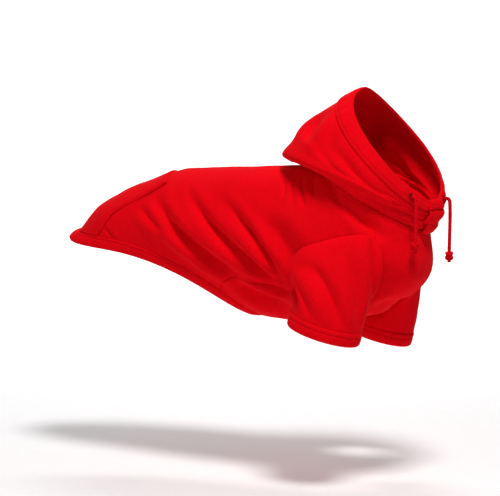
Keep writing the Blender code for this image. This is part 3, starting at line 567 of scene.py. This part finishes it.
def painted_seam_shade(distance, kind):
    """How much painted shade darkens the cloth along a seam and its lines of stitches, from 0 to 1."""
    mark = (0.12 if kind == "soft" else 0.5) * bell(distance, 0.0, 0.0011)
    if kind == "stitched":
        mark = mark + 0.35 * bell(distance, 0.0064, 0.0009)
    if kind == "turned":
        mark = mark + 0.25 * bell(distance, 0.0052, 0.0009)
    return mark


def wall_mesh(name, inner, outer, across, along, painted_shade, wrap=False):
    """A closed cloth wall between two matching grids, with its cloth map in metres and its painted seam shade."""
    rows, columns = inner.shape[:2]
    size = rows * columns
    steps = columns if wrap else columns - 1
    i, j = np.meshgrid(np.arange(rows - 1), np.arange(steps), indexing="ij")
    i, j = i.ravel(), j.ravel()
    k = (j + 1) % columns
    a, b, c, d = i * columns + j, i * columns + k, (i + 1) * columns + k, (i + 1) * columns + j
    faces = [np.stack([a, b, c, d], 1) + size, np.stack([a, d, c, b], 1)]
    j = np.arange(steps)
    k = (j + 1) % columns
    last = (rows - 1) * columns
    faces.append(np.stack([j, k, k + size, j + size], 1))
    faces.append(np.stack([last + j, last + j + size, last + k + size, last + k], 1))
    if not wrap:
        i = np.arange(rows - 1) * columns
        faces.append(np.stack([i, i + size, i + columns + size, i + columns], 1))
        i = i + columns - 1
        faces.append(np.stack([i, i + columns, i + columns + size, i + size], 1))
    points = np.concatenate([inner.reshape(-1, 3), outer.reshape(-1, 3)])
    thing = solid(name, points, np.concatenate(faces))
    corner = np.zeros(len(thing.data.loops), np.int64)
    thing.data.loops.foreach_get("vertex_index", corner)
    spread = np.stack([np.tile(across.ravel(), 2), np.tile(along.ravel(), 2)], 1)[corner]
    thing.data.uv_layers.new(name="cloth").data.foreach_set("uv", spread.astype(np.float32).ravel())
    mark(thing, np.tile(painted_shade.ravel(), 2))
    return thing


def mark(thing, values):
    """Keep a painted shade value at each point of a mesh."""
    attribute = thing.data.attributes.new("painted_shade", "FLOAT", "POINT")
    attribute.data.foreach_set("value", np.clip(values, 0, 1).astype(np.float32))


def solid(name, points, faces):
    """A mesh object from points and faces, with its faces turned outward."""
    mesh = bpy.data.meshes.new(name)
    faces = [[int(v) for v in face] for face in faces]
    mesh.from_pydata([tuple(p) for p in np.asarray(points, float).tolist()], [], faces)
    mesh.update()
    mesh.calc_loop_triangles()
    corners = np.zeros(len(mesh.loop_triangles) * 3, np.int32)
    mesh.loop_triangles.foreach_get("vertices", corners)
    triangles = np.asarray(points, float)[corners.reshape(-1, 3)]
    if np.einsum("ij,ij->i", triangles[:, 0], np.cross(triangles[:, 1], triangles[:, 2])).sum() < 0:
        mesh.flip_normals()
    mesh.shade_smooth()
    mesh.set_sharp_from_angle(angle=math.radians(75))
    thing = bpy.data.objects.new(name, mesh)
    bpy.context.scene.collection.objects.link(thing)
    return thing


def dress(thing, material, slot, *nodes):
    """Give a piece its material, its body and the nodes that it stands for; slot is not used."""
    thing.data.materials.append(material)
    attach(thing, "root")
    if nodes:
        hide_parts(*nodes)
    return thing


def cloth_wall(name, base, kinds, seed, wrap=False, extra=None, side_strength=1.0):
    """A cloth wall over a grid of inner points. kinds name its edges: first row, last row, first and last column.
    side_strength, one value to a row, weakens the two side edges. Returns the piece and its outer grid."""
    rows_from_start, columns_from_start = walked(base, 0), walked(base, 1)
    distances = (rows_from_start, rows_from_start[-1:] - rows_from_start,
                 columns_from_start, columns_from_start[:, -1:] - columns_from_start)
    beside = (columns_from_start, columns_from_start, rows_from_start, rows_from_start)
    relief = 0.00045 * ripple(base, 0.050, seed) + 0.00016 * ripple(base, 0.016, seed + 1)
    # Painted shade along the seams and stitch lines, which darkens the fleece's colour
    painted_shade = np.zeros(base.shape[:2])
    rim = np.zeros(base.shape[:2])
    strengths = (1.0, 1.0, side_strength, side_strength)
    for distance, along, kind, strength in zip(distances, beside, kinds, strengths):
        if kind is None:
            continue
        relief = relief + strength * seam_relief(distance, along, kind)
        painted_shade = painted_shade + strength * painted_seam_shade(distance, kind)
        rim = np.maximum(rim, strength * bell(distance, 0.0, 0.0007))
    if extra is not None:
        relief = relief + extra
    normals = grid_normals(base, wrap)
    base = base + normals * relief[..., None]
    normals = grid_normals(base, wrap)
    outer = base + normals * (CLOTH * (1 - 0.35 * rim))[..., None]
    inner = base + normals * (CLOTH * 0.22 * rim)[..., None]
    thing = wall_mesh(name, inner, outer, columns_from_start, rows_from_start, painted_shade, wrap)
    return thing, outer


def line_inside(grid, distance, from_end, by_rows):
    """The line on a grid that lies a distance in from its first or last row or column."""
    grid = grid if by_rows else grid.transpose(1, 0, 2)
    if from_end:
        grid = grid[::-1]
    gone = walked(grid, 0)
    points = []
    for j in range(grid.shape[1]):
        points.append([np.interp(distance, gone[:, j], grid[:, j, k]) for k in range(3)])
    return np.array(points)


def resampled(line, pitch):
    """Points at an even pitch along a line, and the way of the line at each."""
    steps = np.linalg.norm(np.diff(line, axis=0), axis=1)
    gone = np.concatenate([[0], np.cumsum(steps)])
    count = max(int(gone[-1] / pitch), 2)
    places = (np.arange(count) + 0.5) * gone[-1] / count
    points = np.stack([np.interp(places, gone, line[:, k]) for k in range(3)], 1)
    ahead = np.stack([np.interp(np.minimum(places + 0.001, gone[-1]), gone, line[:, k]) for k in range(3)], 1)
    behind = np.stack([np.interp(np.maximum(places - 0.001, 0), gone, line[:, k]) for k in range(3)], 1)
    return points, unit(ahead - behind)


def stitch_rows(name, lines, centre_of, length=0.0022, radius=THREAD_RADIUS, slant=0.0):
    """Lines of stitches as one piece: each stitch is a short arch of thread whose ends go into the cloth."""
    points, faces, count = [], [], 0
    sides = 6
    for line in lines:
        places, ways = resampled(line, STITCH_PITCH)
        for place, way in zip(places, ways):
            out = place - centre_of(place)
            out = unit(out - way * out.dot(way))
            across = np.cross(out, way)
            lie = unit(way + across * slant)
            span = np.cross(lie, out)
            for share, lift, thick in ((-1, -0.9, 0.45), (-0.55, 0.35, 1.0), (0.55, 0.35, 1.0), (1, -0.9, 0.45)):
                for angle in np.arange(sides) * 2 * math.pi / sides:
                    ring = (math.cos(angle) * out + math.sin(angle) * span) * radius * thick
                    points.append(place + lie * share * length / 2 + out * lift * radius + ring)
            for ring in range(3):
                for side in range(sides):
                    a, b = count + ring * sides + side, count + ring * sides + (side + 1) % sides
                    faces.append([a, b, b + sides, a + sides])
            faces.append([count + side for side in range(sides)][::-1])
            faces.append([count + 3 * sides + side for side in range(sides)])
            count += 4 * sides
    return solid(name, points, faces)


def tube(path, radius_of, sides, first_way):
    """Points of a tube along a path, on frames carried along it without twist."""
    ways = unit(np.gradient(path, axis=0))
    out = first_way - ways[0] * first_way.dot(ways[0])
    rings = []
    angle = np.arange(sides) * 2 * math.pi / sides
    for index, (place, way) in enumerate(zip(path, ways)):
        out = unit(out - way * out.dot(way))
        span = np.cross(way, out)
        radius = radius_of(index, angle)
        rings.append(place + (np.cos(angle) * radius)[:, None] * out + (np.sin(angle) * radius)[:, None] * span)
    return np.array(rings)


def tube_faces(rings, sides, closed=False):
    """Faces of a tube of rings, with its ends filled or joined."""
    faces = []
    for i in range(rings if closed else rings - 1):
        for k in range(sides):
            a, b = i * sides + k, i * sides + (k + 1) % sides
            c, d = ((i + 1) % rings) * sides + (k + 1) % sides, ((i + 1) % rings) * sides + k
            faces.append([a, b, c, d])
    if not closed:
        faces.append(list(range(sides))[::-1])
        faces.append([(rings - 1) * sides + k for k in range(sides)])
    return faces


# Camera
def add_camera():
    """The photograph's angle: from the right and a little ahead, level with the back, through a long lens."""
    camera = bpy.data.objects.new("camera", bpy.data.cameras.new("camera"))
    bpy.context.scene.collection.objects.link(camera)
    camera.location = (0.9761, -1.9742, 0.0689)
    target = Vector((-0.0536, -0.0377, -0.1037))
    camera.rotation_euler = (target - camera.location).to_track_quat("-Z", "Y").to_euler()
    camera.data.lens = 121.85
    camera.data.sensor_width = 36
    camera.data.clip_start = 0.05
    camera.data.clip_end = 60
    bpy.context.scene.camera = camera


# Cords, knots and buttonholes
BRAID_YARNS = 8
BRAID_LAY = 0.0075


def braid_height(gone, angle):
    """Relief of a round braid, 0 in the hollows and 1 on the yarns."""
    turn = gone * 2 * math.pi / BRAID_LAY
    left = np.abs(np.sin((angle + turn) * BRAID_YARNS / 2))
    right = np.abs(np.sin((angle - turn) * BRAID_YARNS / 2))
    return np.maximum(left, right) ** 1.5


def add_cord(side, hand):
    """A hanging braided cord from its buttonhole to its knot."""
    path = cord_path(side, 120)
    into_knot = np.linspace(0, 1, 9)[1:, None] * np.array([0.0, 0.0, -0.35 * KNOT_LENGTH])
    path = np.vstack([path, path[-1] + into_knot])
    gone = np.concatenate([[0], np.cumsum(np.linalg.norm(np.diff(path, axis=0), axis=1))])

    def radius_of(index, angle):
        return CORD_DIAMETER / 2 * (0.90 + 0.13 * braid_height(gone[index], angle))

    sides = 28
    rings = tube(path, radius_of, sides, np.array([0.0, 1.0, 0.0]))
    thing = solid("cord_" + hand, rings.reshape(-1, 3), tube_faces(len(path), sides))
    angle = np.arange(sides) * 2 * math.pi / sides
    # Painted shade in the hollows between the yarns
    mark(thing, (1 - np.array([braid_height(g, angle) for g in gone])).ravel() ** 1.5)
    dress(thing, RED_BRAID, "red_braid", "drawcord_" + hand)
    return thing, path


def add_knot(side, hand):
    """A tight overhand knot in the same braid, with its cut end drawn out below."""
    end = cord_path(side, 41)[-1]
    centre = end - np.array([0.0, 0.0, KNOT_LENGTH / 2 + KNOT_GAP])
    _, face, _ = cord_exit(side)
    face = unit(face * np.array([1.0, 1.0, 0.0]))
    across, up = np.cross(np.array([0.0, 0.0, 1.0]), face), np.array([0.0, 0.0, 1.0])
    t = np.arange(150) * 2 * math.pi / 150
    scale = KNOT_DIAMETER / 2 / 4.30
    path = (centre + np.outer((np.sin(t) + 2 * np.sin(2 * t)) * scale, across)
            + np.outer((np.cos(t) - 2 * np.cos(2 * t)) * scale, up)
            + np.outer(-np.sin(3 * t) * scale * 1.9, face))
    gone = np.concatenate([[0], np.cumsum(np.linalg.norm(np.diff(path, axis=0), axis=1))])
    sides = 24

    def radius_of(index, angle):
        return CORD_DIAMETER / 2 * (0.88 + 0.12 * braid_height(gone[index], angle))

    ways = unit(np.roll(path, -1, 0) - np.roll(path, 1, 0))
    rings = []
    angle = np.arange(sides) * 2 * math.pi / sides
    for index in range(len(path)):
        out = unit(np.cross(ways[index], path[index] - centre + face * 1e-5))
        span = np.cross(ways[index], out)
        radius = radius_of(index, angle)
        rings.append(path[index] + (np.cos(angle) * radius)[:, None] * out + (np.sin(angle) * radius)[:, None] * span)
    thing = solid("knot_loops_" + hand, np.array(rings).reshape(-1, 3), tube_faces(len(path), sides, closed=True))
    # Painted shade in the hollows between the yarns
    mark(thing, (1 - np.array([braid_height(g, angle) for g in gone])).ravel() ** 1.5)
    dress(thing, RED_BRAID, "red_braid", "knot_" + hand)
    return thing, add_cut_end(centre, hand)


def add_cut_end(centre, hand):
    """The frayed end of the cord below its knot."""
    steps = np.linspace(0, 1, 26)
    path = centre + np.outer(steps, np.array([0.0, 0.0, -1.0])) * (KNOT_LENGTH / 2 + 0.0012)

    def radius_of(index, angle):
        splay = 1 + 0.22 * ease(steps[index], 0.7, 1.0) * (0.6 + 0.4 * np.sin(angle * 7 + 1.1))
        return CORD_DIAMETER / 2 * 0.86 * splay * np.ones_like(angle)

    sides = 28
    rings = tube(path, radius_of, sides, np.array([0.0, 1.0, 0.0]))
    rings[-1, :, 2] += 0.0007 * np.sin(np.arange(sides) * 9.0)
    thing = solid("cut_end_" + hand, rings.reshape(-1, 3), tube_faces(len(path), sides))
    # Painted shade among the splayed yarns, darker towards the tip
    mark(thing, np.repeat(0.4 * ease(steps, 0.7, 1.0), sides))
    return dress(thing, RED_BRAID, "red_braid")


def add_buttonhole(side, hand):
    """A stitched buttonhole: thread wound close round an oval slot, with a dark sheet of painted shadow inside it."""
    centre, normal, along = cord_exit(side)
    across = np.cross(normal, along)
    count, sides = 168, 10
    t = np.arange(count) * 2 * math.pi / count
    middle = (centre + np.outer(np.cos(t) * (EYELET_LENGTH / 2 - 0.0010), along)
              + np.outer(np.sin(t) * (EYELET_WIDTH / 2 - 0.0010), across) + normal * 0.0004)
    rings = []
    for index, place in enumerate(middle):
        out = unit(place - centre - normal * 0.0004)
        radius = 0.0010 * (0.82 + 0.22 * abs(math.sin(t[index] * 21)))
        angle = np.arange(sides) * 2 * math.pi / sides
        ring = (np.cos(angle) * radius * 1.15)[:, None] * out + (np.sin(angle) * radius * 0.8)[:, None] * normal
        rings.append(place + ring)
    thing = solid("buttonhole_" + hand, np.array(rings).reshape(-1, 3), tube_faces(count, sides, closed=True))
    dress(thing, DARK_THREAD, "dark_red_thread", "eyelet_" + hand)
    # A dark sheet sunk in the slot, coloured as painted shadow of the casing's inside
    inside = []
    for share, depth in ((0.94, -0.0004), (0.9, -0.0002), (0.5, -0.0003), (0.06, -0.0004)):
        inside.append(centre + np.outer(np.cos(t) * share * (EYELET_LENGTH / 2 - 0.0016), along)
                      + np.outer(np.sin(t) * share * (EYELET_WIDTH / 2 - 0.0016), across) + normal * (depth + 0.0008))
    bottom = [ring - normal * 0.0006 for ring in inside[::-1]]
    slot = solid("slot_" + hand, np.array(inside + bottom).reshape(-1, 3), tube_faces(8, count, closed=True))
    return thing, dress(slot, PAINTED_SLOT_SHADOW, "dark_red_thread")


# Cloth pieces
def body_stations():
    """Rows of the body panels: fine at the hem, even to the armhole, crowded at its ends, fine at the neck."""
    first = np.linspace(0, 0.026, 11)[:-1]
    rear = np.linspace(0.026, ARMHOLE_START, 84, endpoint=False)
    middle, half = (ARMHOLE_START + ARMHOLE_END) / 2, (ARMHOLE_END - ARMHOLE_START) / 2
    across = middle + half * np.cos(np.linspace(math.pi, 0, 66, endpoint=False))
    neck = np.linspace(ARMHOLE_END, 1 - SEAM_GAP / BACK_LENGTH, 24)
    return np.concatenate([first, rear, across, neck])[:, None]


def side_seam_strength(stations):
    """The side seam's full relief behind the armhole, and a faint one round it, where the cloth is drawn smooth."""
    return 1 - 0.8 * ease(stations, ARMHOLE_START - 0.03, ARMHOLE_START + 0.02)


def add_back():
    """The back panel, cut in one from side seam over the back to side seam."""
    stations = body_stations()
    edge = side_seam(stations) - armhole_reach(stations, ARMHOLE_UP_TURN) - SEAM_GAP / CHEST_WIDTH
    turn = edge * (2 * spaced(141, 0.55)[None, :] - 1)
    stations = stations * np.ones_like(turn)
    strength = side_seam_strength(stations)
    kinds = ("plain", "stitched", "plain", "plain")
    thing, outer = cloth_wall("back_cloth", body(stations, turn), kinds, 11, side_strength=strength)
    return dress(thing, RED_FLEECE, "red_fleece", "back_panel"), outer


def add_belly():
    """The belly and chest panel, cut in one from side seam under the belly to side seam."""
    stations = body_stations()
    edge = side_seam(stations) + armhole_reach(stations, ARMHOLE_DOWN_TURN) + SEAM_GAP / CHEST_WIDTH
    turn = edge + (2 * math.pi - 2 * edge) * spaced(91, 0.55)[None, :]
    stations = stations * np.ones_like(turn)
    strength = side_seam_strength(stations)
    kinds = ("plain", "stitched", "plain", "plain")
    thing, outer = cloth_wall("belly_cloth", body(stations, turn), kinds, 21, side_strength=strength)
    return dress(thing, RED_FLEECE, "red_fleece", "belly_panel"), outer


def add_sleeve(side, hand):
    """A short sleeve set into its armhole."""
    angle = np.linspace(0, 2 * math.pi, 128, endpoint=False)[None, :]
    stretches = (np.linspace(0, 0.09, 12)[:-1], np.linspace(0.09, 0.90, 40)[:-1], np.linspace(0.90, 1.0, 12))
    rows = np.concatenate(stretches)
    rows, angle = np.broadcast_arrays(rows[:, None], angle)
    base = sleeve(side, rows, angle)
    thing, outer = cloth_wall("sleeve_cloth_" + hand, base, ("soft", "plain", None, None), 31 + side, wrap=True)
    return dress(thing, RED_FLEECE, "red_fleece", "sleeve_" + hand), outer, base, angle[0]


def band(name, seam, fold, normals, thickness, wrap, stitch_at, seed):
    """A folded band of fleece from its seam line to its folded edge, with a line of stitches along it."""
    width = np.linalg.norm(fold - seam, axis=1)
    outer_shares = spaced(30, 0.75)
    columns = []
    painted_shade_rows = []
    gone = np.concatenate([[0], np.cumsum(np.linalg.norm(np.diff(seam, axis=0), axis=1))])
    swell = 0.0005 * np.sin(gone * 2 * math.pi / 0.021 + 2.0 * np.sin(gone * 2 * math.pi / 0.083 + seed))
    outer_steps = [(share, BAND_OUTER) for share in outer_shares]
    inner_steps = [(share, BAND_INNER) for share in outer_shares[-2:0:-1]]
    for share, table in outer_steps + inner_steps:
        lift = smooth_rows(table, share)[0] * thickness
        distance = share * width
        if table is BAND_OUTER:
            lift = lift - 0.0009 * bell(distance, stitch_at, 0.0011) + swell * math.sin(math.pi * share) ** 2
            lift = lift + 0.00018 * np.sin(gone * 2 * math.pi / 0.0062) * bell(distance, stitch_at, 0.004)
            # Painted shade along the stitch line and along the seam
            painted_shade_rows.append(0.35 * bell(distance, stitch_at, 0.0010) + 0.5 * bell(distance, 0.0, 0.0010))
        else:
            painted_shade_rows.append(np.zeros_like(width))
        columns.append(seam + (fold - seam) * share + normals * lift[:, None])
    loops = np.stack(columns, 1)
    sides = loops.shape[1]
    thing = solid(name, loops.reshape(-1, 3), tube_faces(len(loops), sides, closed=wrap))
    round_band = np.concatenate([outer_shares, 2 - outer_shares[-2:0:-1]])
    spread = np.stack([np.repeat(gone, sides), np.tile(round_band, len(loops)) * np.repeat(width, sides)], 1)
    corner = np.zeros(len(thing.data.loops), np.int64)
    thing.data.loops.foreach_get("vertex_index", corner)
    thing.data.uv_layers.new(name="cloth").data.foreach_set("uv", spread[corner].astype(np.float32).ravel())
    mark(thing, np.stack(painted_shade_rows, 1).ravel())
    at = int(np.argmin(np.abs(outer_shares * width.mean() - stitch_at)))
    return thing, loops[:, at]


def add_hem_band():
    """The folded band along the hem, rolled up a little at the tail."""
    turn = np.linspace(0, 2 * math.pi, 260, endpoint=False)
    start = np.zeros_like(turn)
    edge, normals = body(start, turn), normals_of(body, start, turn)
    away = unit(np.cross(normals, body(start, turn + 0.01) - body(start, turn - 0.01)))
    roll = ((1 + np.cos(turn)) / 2) ** 6
    seam = edge - away * SEAM_LAP
    fold = edge + away * (SEAM_GAP + HEM_BAND_WIDTH) + normals * (roll * TAIL_ROLL)[:, None]
    thickness = HEM_BAND_THICKNESS + TAIL_ROLL * roll
    thing, line = band("hem_band_cloth", seam, fold, normals, thickness, True, 0.0034, 1.0)
    return dress(thing, RED_FLEECE, "red_fleece", "hem_band"), line


def add_sleeve_band(side, hand, base, angle):
    """The folded band at a sleeve's hem."""
    _, _, _, down = sleeve_frame(side)
    normals = grid_normals(base, True)[-1]
    seam = base[-1] - down * SEAM_LAP
    fold = base[-1] + down * (SEAM_GAP + SLEEVE_BAND_WIDTH)
    thickness = np.full(len(seam), SLEEVE_BAND_THICKNESS)
    thing, line = band("sleeve_band_cloth_" + hand, seam, fold, normals, thickness, True, 0.0062, 2.0 + side)
    return dress(thing, RED_FLEECE, "red_fleece", "sleeve_hem_" + hand), line


def add_hood_half(side, hand):
    """One half of the hood, from its centre seam over the head to the front."""
    stations = np.concatenate([np.linspace(0, 0.06, 9)[:-1], np.linspace(0.06, 0.82, 84)[:-1],
                               np.linspace(0.82, CASING_SEAM + 0.010, 11)])[:, None]
    gap = SEAM_GAP / HOOD_WIDTH * 2
    turn = gap + (math.pi - 2 * gap) * spaced(112, 0.5)[None, :]
    if side > 0:
        turn = np.concatenate([turn, math.pi + LAP_OVERLAP * np.linspace(0, 1, 10)[None, 1:]], 1)
    stations, turn = np.broadcast_arrays(stations, side * turn)
    base = hood(stations, turn)
    if side > 0:
        base = base + normals_of(hood, stations, turn) * lap_lift(turn)[..., None]
    thing, _ = cloth_wall("hood_cloth_" + hand, base, ("stitched", "plain", "plain", "plain"), 41 + side)
    return dress(thing, RED_FLEECE, "red_fleece", "hood_" + hand)


def add_casing():
    """The padded drawcord casing round the face opening, its left end over its right end."""
    turn = np.linspace(-math.pi + SEAM_GAP / HOOD_WIDTH * 2, math.pi + LAP_OVERLAP, 300)
    seam, rim, normals = casing_lines(turn)
    thickness = np.full(len(turn), CASING_THICKNESS)
    thing, line = band("casing_cloth", seam, rim, normals, thickness, False, 0.0042, 3.0)
    return dress(thing, RED_FLEECE, "red_fleece", "hood_casing"), line


def add_pocket():
    """The pouch pocket on the rump, with a turned and stitched opening on each side."""
    stations = np.linspace(SEAM_GAP / BACK_LENGTH, POCKET_TOP, 66)[:, None]
    edge = smooth_rows(POCKET_EDGE, stations)[..., 0] * math.pi
    turn = edge * (2 * spaced(85, 0.6)[None, :] - 1)
    stations = stations * np.ones_like(turn)
    base = body(stations, turn) + normals_of(body, stations, turn) * (CLOTH + 0.3 * POCKET_LIFT)
    thing, outer = cloth_wall("pocket_cloth", base, ("plain", "stitched", "turned", "turned"), 51)
    return dress(thing, RED_FLEECE, "red_fleece", "back_pocket"), outer


def body_axis(place):
    """The point inside the body or hood that a place on it faces away from."""
    x = min(max(place[0], -0.30), 0.11)
    return np.array([x, 0.0, -0.085 + 0.10 * max(0.0, place[2]) - 0.03 * min(0.0, x)])


def sleeve_axis(side):
    """The point inside a sleeve that a place on it faces away from."""
    centre, _, _, _ = sleeve_frame(side)

    def axis(place):
        return np.array([centre[0], centre[1], place[2]])

    return axis


def hood_axis(place):
    """The point inside the hood that a place on it faces away from."""
    return np.array([0.11, 0.0, 0.0])


# Stage and light
def add_stage():
    """White paper that runs from the floor up a wall behind in one bend."""
    bpy.ops.object.select_all(action="DESELECT")
    bpy.ops.mesh.primitive_plane_add(size=12, location=(0, 0, FLOOR), rotation=(0, 0, math.radians(28)))
    paper = bpy.context.object
    paper.name = "paper"
    bpy.ops.object.mode_set(mode="EDIT")
    sheet = bmesh.from_edit_mesh(paper.data)
    far = [edge for edge in sheet.edges if all(v.co.y > 5.9 for v in edge.verts)]
    bpy.ops.mesh.select_all(action="DESELECT")
    bpy.context.tool_settings.mesh_select_mode = (False, True, False)
    for edge in far:
        edge.select = True
    bmesh.update_edit_mesh(paper.data)
    bpy.ops.mesh.extrude_region_move(TRANSFORM_OT_translate={"value": (0, 0, 6)})
    bpy.ops.mesh.select_all(action="DESELECT")
    sheet = bmesh.from_edit_mesh(paper.data)
    for edge in sheet.edges:
        edge.select = all(v.co.y > 5.9 and abs(v.co.z) < 0.1 for v in edge.verts)
    bmesh.update_edit_mesh(paper.data)
    bpy.ops.mesh.bevel(offset=2.2, segments=24)
    bpy.ops.object.mode_set(mode="OBJECT")
    bpy.ops.object.shade_smooth()
    paper.data.materials.append(PAPER)
    paper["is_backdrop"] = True


def add_light(name, place, size, power, colour, target=(0, 0, -0.08)):
    """A soft box that faces the garment, or the wall behind it."""
    light = bpy.data.lights.new(name, "AREA")
    light.shape = "DISK"
    light.size = size
    light.energy = power
    light.color = linear(colour)[:3]
    thing = bpy.data.objects.new(name, light)
    bpy.context.scene.collection.objects.link(thing)
    thing.location = place
    thing.rotation_euler = (Vector(target) - thing.location).to_track_quat("-Z", "Y").to_euler()


def add_world(colour, strength):
    """An even pale room."""
    world = bpy.data.worlds.new("room")
    world.use_nodes = True
    background = world.node_tree.nodes["Background"]
    background.inputs["Color"].default_value = linear(colour)
    background.inputs["Strength"].default_value = strength
    bpy.context.scene.world = world


RED_FLEECE = fleece_material("brushed_cotton_fleece_red", "#F50012", "#D4000E", 0.00022)
RED_BRAID = braid_material("braided_cotton_cord_red", "#E80014", "#7A0008")
RED_THREAD = thread_material("spun_polyester_thread_red", "#E60014", "#A8000C")
DARK_THREAD = thread_material("spun_polyester_thread_dark_red", "#C8000E", "#8A0008")
# Painted shadow: a dark red for the sheet inside each buttonhole
PAINTED_SLOT_SHADOW = thread_material("painted_shadow_in_buttonhole", "#6E0008", "#440004")
PAPER = paper_material("matt_seamless_paper", "#FAFAFA")

bpy.context.scene.view_settings.view_transform = "Standard"
add_camera()

for side, hand in ((-1, "right"), (1, "left")):
    cord, path = add_cord(side, hand)
    knot, cut_end = add_knot(side, hand)
    buttonhole, slot = add_buttonhole(side, hand)

back, back_grid = add_back()
belly, belly_grid = add_belly()
hem_band, hem_line = add_hem_band()
pocket, pocket_grid = add_pocket()
casing, casing_line = add_casing()
hood_right = add_hood_half(-1, "right")
hood_left = add_hood_half(1, "left")

neck_lines = [line_inside(back_grid, 0.0064, True, True), line_inside(belly_grid, 0.0064, True, True)]
neck_stitches = dress(stitch_rows("neck_stitches", neck_lines, body_axis), RED_THREAD, "dark_red_thread")
hem_lines = [np.vstack([hem_line, hem_line[:1]]), line_inside(back_grid, 0.0022, False, True),
             line_inside(belly_grid, 0.0022, False, True)]
hem_stitches = dress(stitch_rows("hem_stitches", hem_lines, body_axis), RED_THREAD, "dark_red_thread")
pocket_lines = [line_inside(pocket_grid, 0.0052, False, False), line_inside(pocket_grid, 0.0052, True, False),
                line_inside(pocket_grid, 0.0064, True, True)]
pocket_stitches = dress(stitch_rows("pocket_stitches", pocket_lines, body_axis), RED_THREAD, "dark_red_thread")
casing_stitches = dress(stitch_rows("casing_stitches", [casing_line], hood_axis), RED_THREAD, "dark_red_thread")

for side, hand in ((-1, "right"), (1, "left")):
    piece, grid, base, angle = add_sleeve(side, hand)
    cuff, line = add_sleeve_band(side, hand, base, angle)
    lines = [np.vstack([line, line[:1]])]
    stitches = stitch_rows("sleeve_stitches_" + hand, lines, sleeve_axis(side))
    dress(stitches, RED_THREAD, "dark_red_thread")

add_stage()
add_light("key", (0.75, -0.85, 2.0), 0.6, 46.0, "#FFFFFF")
add_light("fill", (-0.9, -2.0, 0.9), 1.4, 8.0, "#FFFFFF")
add_light("wall", (-1.3, 2.0, 3.2), 2.0, 200.0, "#FFFFFF", target=(-2.6, 4.9, 0.0))
add_world("#FFFFFF", 0.10)

boxes = {"cad": CAD_BOX, "visual": [list(corner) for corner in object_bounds()]}
boxes = {name: [[float(v) for v in corner] for corner in box] for name, box in boxes.items()}
